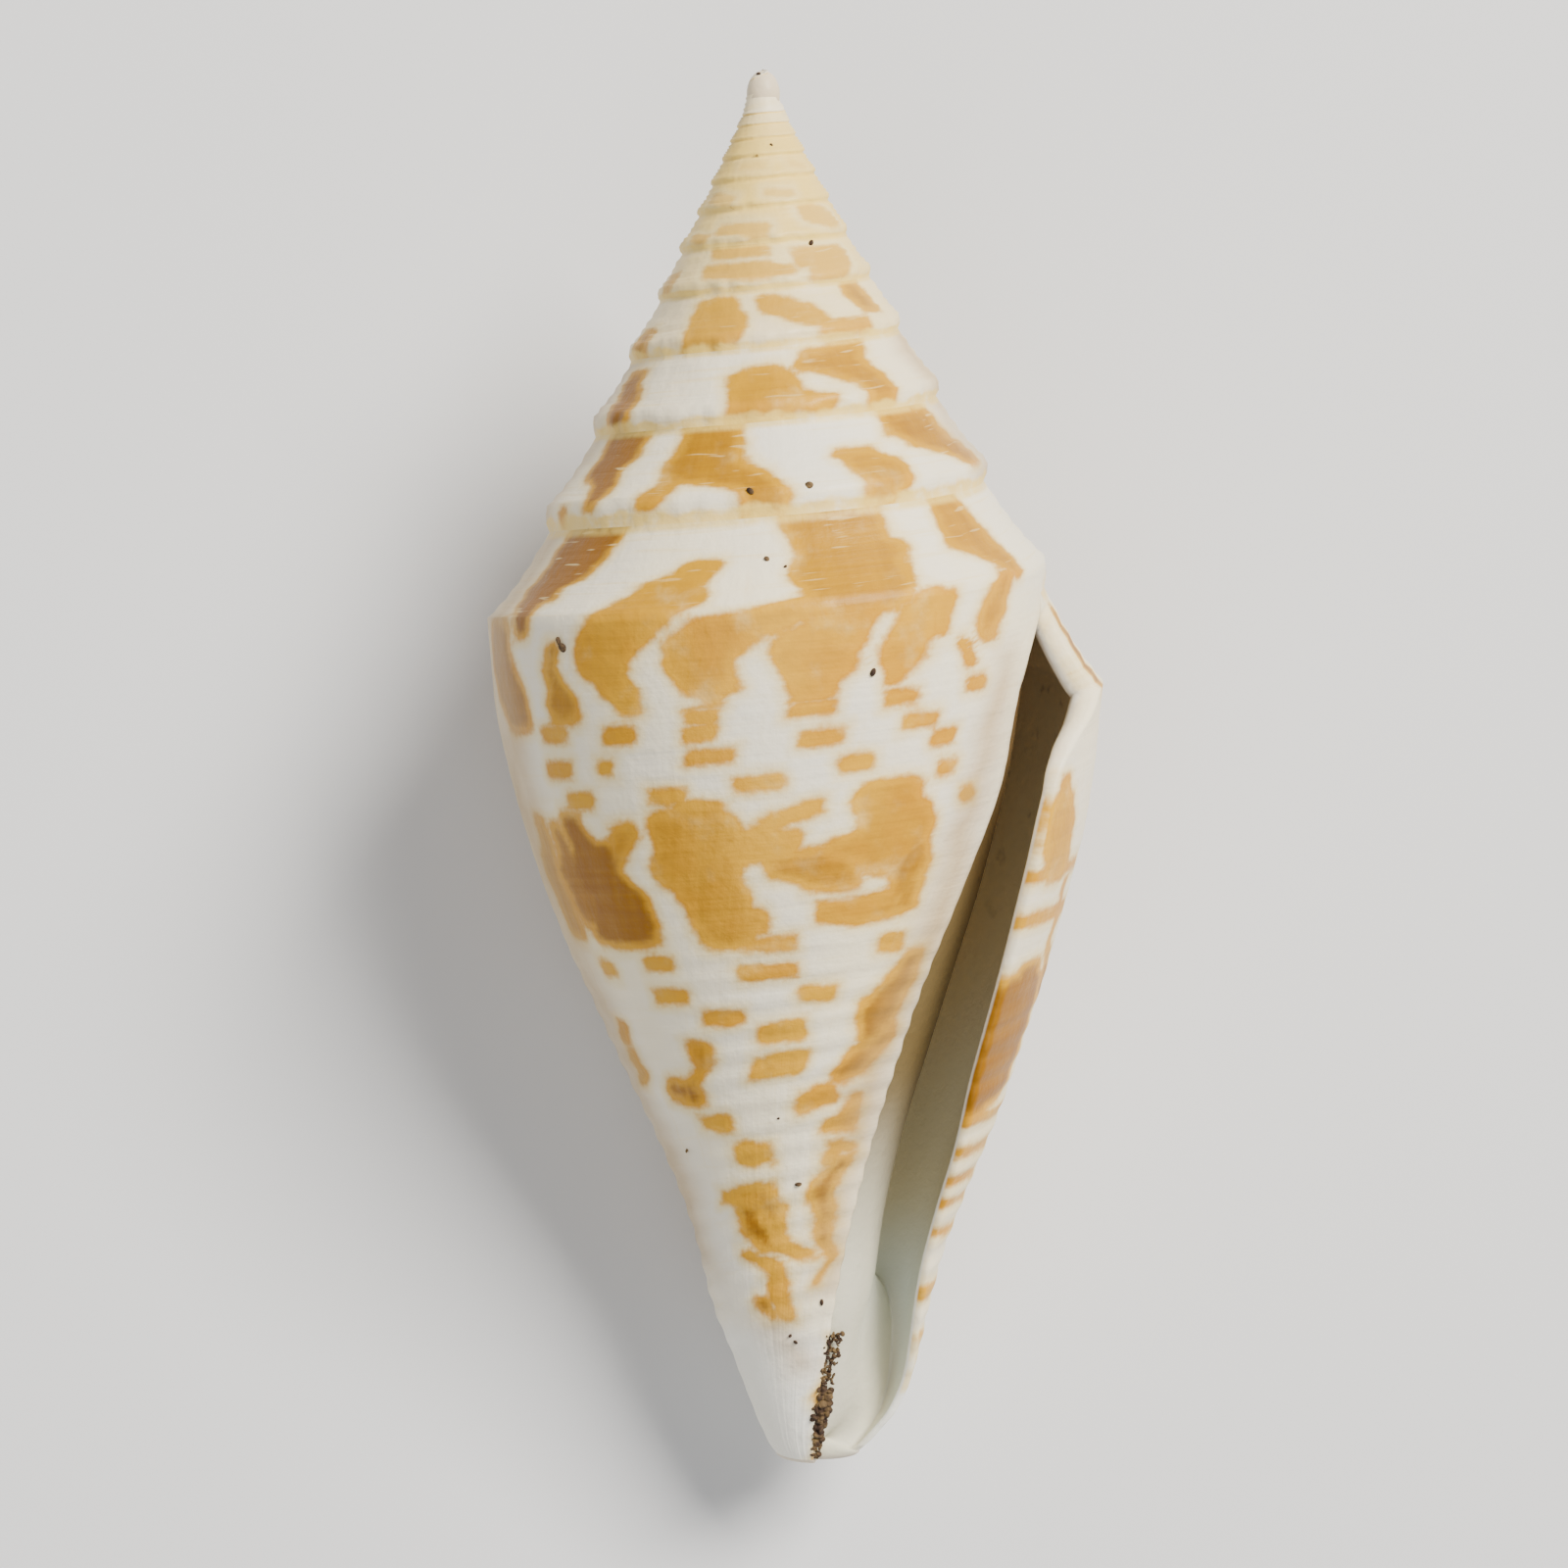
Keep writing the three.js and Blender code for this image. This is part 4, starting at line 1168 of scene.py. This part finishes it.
        # Painted shade along the inside of the inner edge: green-brown, darkest at the top, paling downwards.
        olive_shade = w.blend(along.span(-9.5, -5.0), self.olive_shade_end, self.olive_shade)
        olive_shade = w.blend(along.span(-4.0, 2.0), olive_shade, self.olive_shade_top)
        colour = w.blend((1.0 - inner.span(1.45, 1.95)) * (1.0 - outer_side), colour, olive_shade)
        return w.blend(near * outer_side * 0.8, colour, self.lip)

    def roughness(self, w: Surface, place: object, across: Number, inner: Number) -> Number:
        """How dull the surface is: glazed, but chalky at the front end."""
        dull = (across + w.cloud(place, 900.0) * 0.05).span(0.84, 0.88) * 0.3
        return w.cloud(place, 1200.0, 3.0) * 0.25 + 0.44 + dull


@dataclass
class ShellSculpture:
    """The fine relief: spiral cords, growth lines, lumps and the rough seam, in millimetres."""

    cord_pitch: float = 0.5
    cord_height: float = 0.016
    ramp_cords: float = 5.0
    ramp_cord_height: float = 0.012
    line_height: float = 0.02
    lump_height: float = 0.07
    seam_height: float = 0.42
    spire_lumps: float = 0.16

    def carve(self, shell: bpy.types.Object, material: bpy.types.Material) -> bpy.types.Object:
        """Raises the relief along the surface's own normals.

        Args:
            shell: The smooth shell.
            material: Its finish.

        Returns:
            The same object, with its relief.
        """
        g = Sculpting("shell_relief")
        pitch, height = g.size("Cord pitch", self.cord_pitch), g.size("Cord height", self.cord_height)
        rings = g.size("Ramp cords", self.ramp_cords)
        ring_height = g.size("Ramp cord height", self.ramp_cord_height)
        lines, lumps = g.size("Growth line height", self.line_height), g.size("Lump height", self.lump_height)
        seams = g.size("Seam height", self.seam_height)
        rise, run, across = (g.attribute(name) for name in ("rise", "run", "across"))
        place = g.node("GeometryNodeInputPosition").outputs[0]
        outer = 1.0 - g.attribute("inside").span(0.0, 0.5)
        low = 0.15 + across.span(0.33, 0.5) * 0.85
        ease_off = 1.0 - across.span(0.84, 0.92) * 0.7
        body = (rise * TURN / pitch).cosine() * height * low * ease_off * across.span(0.0, 0.06)
        ramp = (across * rings * TURN).cosine() * ring_height * (1.0 - across.span(-0.05, 0.0))
        grown = g.cloud(g.vector(run * 1.6, rise * 0.2), 1.0, 3.0) * lines
        lump = g.cloud(place, 420.0, 2.0) * lumps
        older = 1.0 - g.attribute("turns").span(11.98, 12.0)
        near = across.hump(-1.2, -0.98, 0.09) + across.hump(0.001, 0.1, 0.001) * older * 0.6
        size = 0.25 + g.attribute("turns").span(2.0, 12.0) * 0.75
        seam = (g.cloud(place, 2600.0, 3.0, seed=4.0) + 0.12) * seams * near * size
        spire = g.size("Spire lump height", self.spire_lumps) * (1.0 - g.attribute("turns").span(9.5, 12.0))
        wrinkle = g.cloud(g.vector(run * 0.9, rise * 2.5), 1.0, 3.0, seed=9.0) * spire * size
        total = (body + ramp + grown + lump + seam + wrinkle) * outer * MM
        normal = g.node("GeometryNodeInputNormal").outputs[0]
        offset = g.node("ShaderNodeVectorMath", {"operation": "SCALE"}, Vector=normal, Scale=total)
        entry = g.entry.outputs["Geometry"]
        moved = g.node("GeometryNodeSetPosition", Geometry=entry, Offset=offset.outputs[0])
        g.finish(moved.outputs[0], material)
        return g.made_from(shell)


@dataclass(frozen=True)
class GrimeFinish:
    """Dry dark dirt."""

    dark: Tint = Tint(0.2, 0.12, 0.06)
    pale: Tint = Tint(0.5, 0.4, 0.24)

    def material(self) -> bpy.types.Material:
        """Builds the material."""
        w = Surface("dry_dirt")
        cloud = w.cloud(w.place(), 5000.0, 3.0)
        w.set(Base_Color=w.blend(cloud.span(-0.1, 0.25), self.dark, self.pale), Roughness=0.85)
        w.bump(cloud, 0.00003)
        return w.material


@dataclass
class Crumbs:
    """Small lumps strewn over the shell: the dirt packed in its front groove, and the specks on its skin.

    Sizes are in millimetres.
    """

    growth: Growth
    resting: Resting
    shift: Vector
    seed: int = 11
    groove_count: int = 280
    groove_from: float = 0.865
    groove_to: float = 1.02
    crumb_size: float = 0.045
    speck_flatness: float = 0.5

    def groove(self) -> list[tuple[np.ndarray, float]]:
        """Places along the front groove, thickest a little above its end, each with a size."""
        rng = np.random.default_rng(self.seed)
        placed = []
        for down in rng.uniform(self.groove_from, self.groove_to, self.groove_count):
            older = np.array(-TURN)
            radius, depth = self.growth.body(older, np.array(down))
            azimuth = self.growth.body_sheer(older, np.array(down)) - rng.uniform(-0.02, 0.22)
            thick = math.exp(-(((down - 0.965) / 0.03) ** 2))
            at = self.growth.place(azimuth, radius - rng.uniform(0.0, 0.1), depth)
            placed.append((at, self.crumb_size * rng.uniform(0.6, 1.3) * (1.0 + 1.3 * thick)))
        return placed

    def specks(self) -> list[tuple[np.ndarray, float]]:
        """The separate specks: the ones in front, then a few strewn round the back."""
        rng = np.random.default_rng(self.seed + 1)
        body = [(72, 0.086, 0.1), (139, 0.028, 0.09), (138, 0.036, 0.11), (93, 0.682, 0.07)]
        body += [(82, 0.827, 0.07), (146, 0.64, 0.05), (104, 0.866, 0.05), (101, 0.874, 0.06)]
        body += [(99, 0.6, 0.04)]
        body += [(azimuth, rng.uniform(0.1, 0.9), 0.06) for azimuth in rng.uniform(200.0, 340.0, 10)]
        placed = []
        for azimuth, down, size in body:
            angle = math.radians(azimuth) - TURN
            grown = np.array(angle)
            for _ in range(4):
                grown = angle - self.growth.body_sheer(grown, np.array(down))
            radius, depth = self.growth.body(grown, np.array(down))
            placed.append((self.growth.place(np.array(angle), radius, depth), size))
        ramps = [(93, 0.4, 0, 0.07), (89, 0.5, 0, 0.04), (82, 0.96, 1, 0.09), (97, 0.99, 1, 0.08)]
        ramps += [(60, 0.1, 4, 0.08), (118, 0.6, 12, 0.07), (80, 0.5, 8, 0.05)]
        for azimuth, out, whorl, size in ramps:
            grown = np.array(math.radians(azimuth - self.growth.suture_sheer) - TURN * (whorl + 1))
            radius, depth = self.growth.ramp(grown, np.array(out))
            placed.append((self.growth.place(np.array(math.radians(azimuth)), radius, depth), size))
        return placed

    def strew(self, name: str, placed: list[tuple[np.ndarray, float]],
              material: bpy.types.Material) -> bpy.types.Object:
        """Sets one rough lump at each place.

        Args:
            name: The piece's name.
            placed: The places, in the grown frame, and the lumps' sizes.
            material: The lumps' finish.

        Returns:
            The piece, a plain mesh.
        """
        grown = np.array([at for at, _ in placed])
        turned = grown @ np.array(self.resting.turned()).T * MM + np.array(self.shift)
        mesh = bpy.data.meshes.new(name)
        mesh.from_pydata(turned.tolist(), [], [])
        sizes = mesh.attributes.new("size", "FLOAT", "POINT")
        sizes.data.foreach_set("value", [size * MM for _, size in placed])
        piece = bpy.data.objects.new(name, mesh)
        bpy.context.scene.collection.objects.link(piece)
        g = Sculpting(name + "_lumps")
        flat = g.size("Flatness", self.speck_flatness)
        lump = g.node("GeometryNodeMeshIcoSphere", Radius=1.0, Subdivisions=2)
        spin = g.node("FunctionNodeRandomValue", {"data_type": "FLOAT_VECTOR"}, Seed=self.seed)
        g.feed(spin.inputs[1], (TURN, TURN, TURN))
        scale = g.node("ShaderNodeVectorMath", {"operation": "SCALE"}, Vector=g.vector(1.0, 0.8, flat),
                       Scale=g.attribute("size"))
        points = g.entry.outputs["Geometry"]
        set_out = g.node("GeometryNodeInstanceOnPoints", Points=points, Instance=lump.outputs[0],
                         Rotation=spin.outputs[0], Scale=scale.outputs[0])
        g.finish(set_out.outputs[0], material)
        made = g.made_from(piece)
        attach(made, "root")
        LOG.info("%s: %d lumps", name, len(placed))
        return made


@dataclass
class TipBud:
    """The blunt first whorl at the spire's tip, a smooth bud."""

    resting: Resting
    shift: Vector
    radius: float = 0.3
    height: float = 0.42

    def build(self, material: bpy.types.Material) -> bpy.types.Object:
        """Builds the bud over the spiral's start."""
        bpy.ops.mesh.primitive_uv_sphere_add(segments=48, ring_count=24, radius=1.0)
        bud = bpy.context.object
        bud.name = "tip_bud"
        turn = self.resting.turned().to_4x4()
        scaled = Matrix.Diagonal((self.radius * MM, self.height * MM, self.radius * MM, 1.0))
        placed = Matrix.Translation((0.01 * MM, -self.height * MM, 0.0)) @ scaled
        bud.data.transform(Matrix.Translation(self.shift) @ turn @ placed)
        for polygon in bud.data.polygons:
            polygon.use_smooth = True
        bud.data.materials.append(material)
        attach(bud, "root")
        return bud


@dataclass
class Studio:
    """The floor, the lights and the camera."""

    growth: Growth
    resting: Resting
    shift: Vector
    camera_distance: float = 90.0
    view_width: float = 28.23
    view_tilt: float = 6.0
    view_roll: float = 0.01
    aim: tuple[float, float] = (0.388, -12.845)

    def camera(self) -> bpy.types.Object:
        """Sets the camera over the shell, square to it but for a little tilt and roll."""
        tilt, roll = math.radians(self.view_tilt), self.view_roll
        back = Vector((0.0, math.sin(tilt), math.cos(tilt)))
        up = Vector((0.0, math.cos(tilt), -math.sin(tilt)))
        side = Vector((1.0, 0.0, 0.0))
        right = side * math.cos(roll) - up * math.sin(roll)
        above = side * math.sin(roll) + up * math.cos(roll)
        turned = self.resting.turned()
        spot = (right * self.aim[0] + above * self.aim[1] + back * self.camera_distance) * MM
        data = bpy.data.cameras.new("camera")
        data.sensor_width = 36.0
        data.lens = 36.0 * self.camera_distance / self.view_width
        data.clip_start = 0.005
        data.clip_end = 10.0
        camera = bpy.data.objects.new("camera", data)
        axes = Matrix([turned @ right, turned @ above, turned @ back]).transposed()
        camera.matrix_world = Matrix.Translation(turned @ spot + self.shift) @ axes.to_4x4()
        bpy.context.scene.collection.objects.link(camera)
        bpy.context.scene.camera = camera
        return camera

    def floor(self) -> bpy.types.Object:
        """Lays a plain pale floor under the shell."""
        half = 0.6
        data = bpy.data.meshes.new("floor")
        corners = [(-half, -half, 0), (half, -half, 0), (half, half, 0), (-half, half, 0)]
        data.from_pydata(corners, [], [(0, 1, 2, 3)])
        floor = bpy.data.objects.new("floor", data)
        bpy.context.scene.collection.objects.link(floor)
        w = Surface("floor_paper")
        w.set(Base_Color=Tint(0.86, 0.86, 0.86), Roughness=0.9)
        data.materials.append(w.material)
        return floor

    def lamp(self, name: str, place: Vector, power: float, size: float, tint: Tint) -> None:
        """Hangs one square soft light, turned towards the shell."""
        data = bpy.data.lights.new(name, "AREA")
        data.energy = power
        data.size = size
        data.color = tint.linear()[:3]
        lamp = bpy.data.objects.new(name, data)
        lamp.location = place
        lamp.rotation_euler = (-place).to_track_quat("-Z", "Y").to_euler()
        bpy.context.scene.collection.objects.link(lamp)

    def lights(self) -> None:
        """Lights the shell softly from above its tip, with a weak fill from the front."""
        self.lamp("key", Vector((0.17, 0.15, 0.27)), 2.9, 0.16, Tint(1.0, 0.985, 0.96))
        self.lamp("fill", Vector((-0.06, -0.16, 0.32)), 0.6, 0.3, Tint(0.97, 0.98, 1.0))
        world = bpy.data.worlds.new("room")
        world.use_nodes = True
        world.node_tree.nodes["Background"].inputs["Color"].default_value = (1.0, 1.0, 1.0, 1.0)
        world.node_tree.nodes["Background"].inputs["Strength"].default_value = 0.24
        bpy.context.scene.world = world


def main() -> None:
    """Builds the shell and its setting, and reports each piece."""
    logging.basicConfig(level=logging.INFO, format="%(name)s: %(message)s")
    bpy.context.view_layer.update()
    growth = Growth()
    resting = Resting()
    cone = ConeShell(growth, resting)
    shell = cone.build(Markings(growth))
    finish = ShellFinish().material()
    ShellSculpture().carve(shell, finish)
    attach(shell, "root")
    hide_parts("shell")
    LOG.info("shell: %d points, %d faces", len(shell.data.vertices), len(shell.data.polygons))
    TipBud(resting, cone.shift).build(finish)
    crumbs_and_shade = Crumbs(growth, resting, cone.shift)
    dirt_and_shade = GrimeFinish().material()
    crumbs_and_shade.strew("groove_dirt", crumbs_and_shade.groove(), dirt_and_shade)
    crumbs_and_shade.strew("skin_specks", crumbs_and_shade.specks(), dirt_and_shade)
    studio = Studio(growth, resting, cone.shift)
    studio.camera()
    studio.floor()
    studio.lights()


if __name__ == "__main__":
    main()
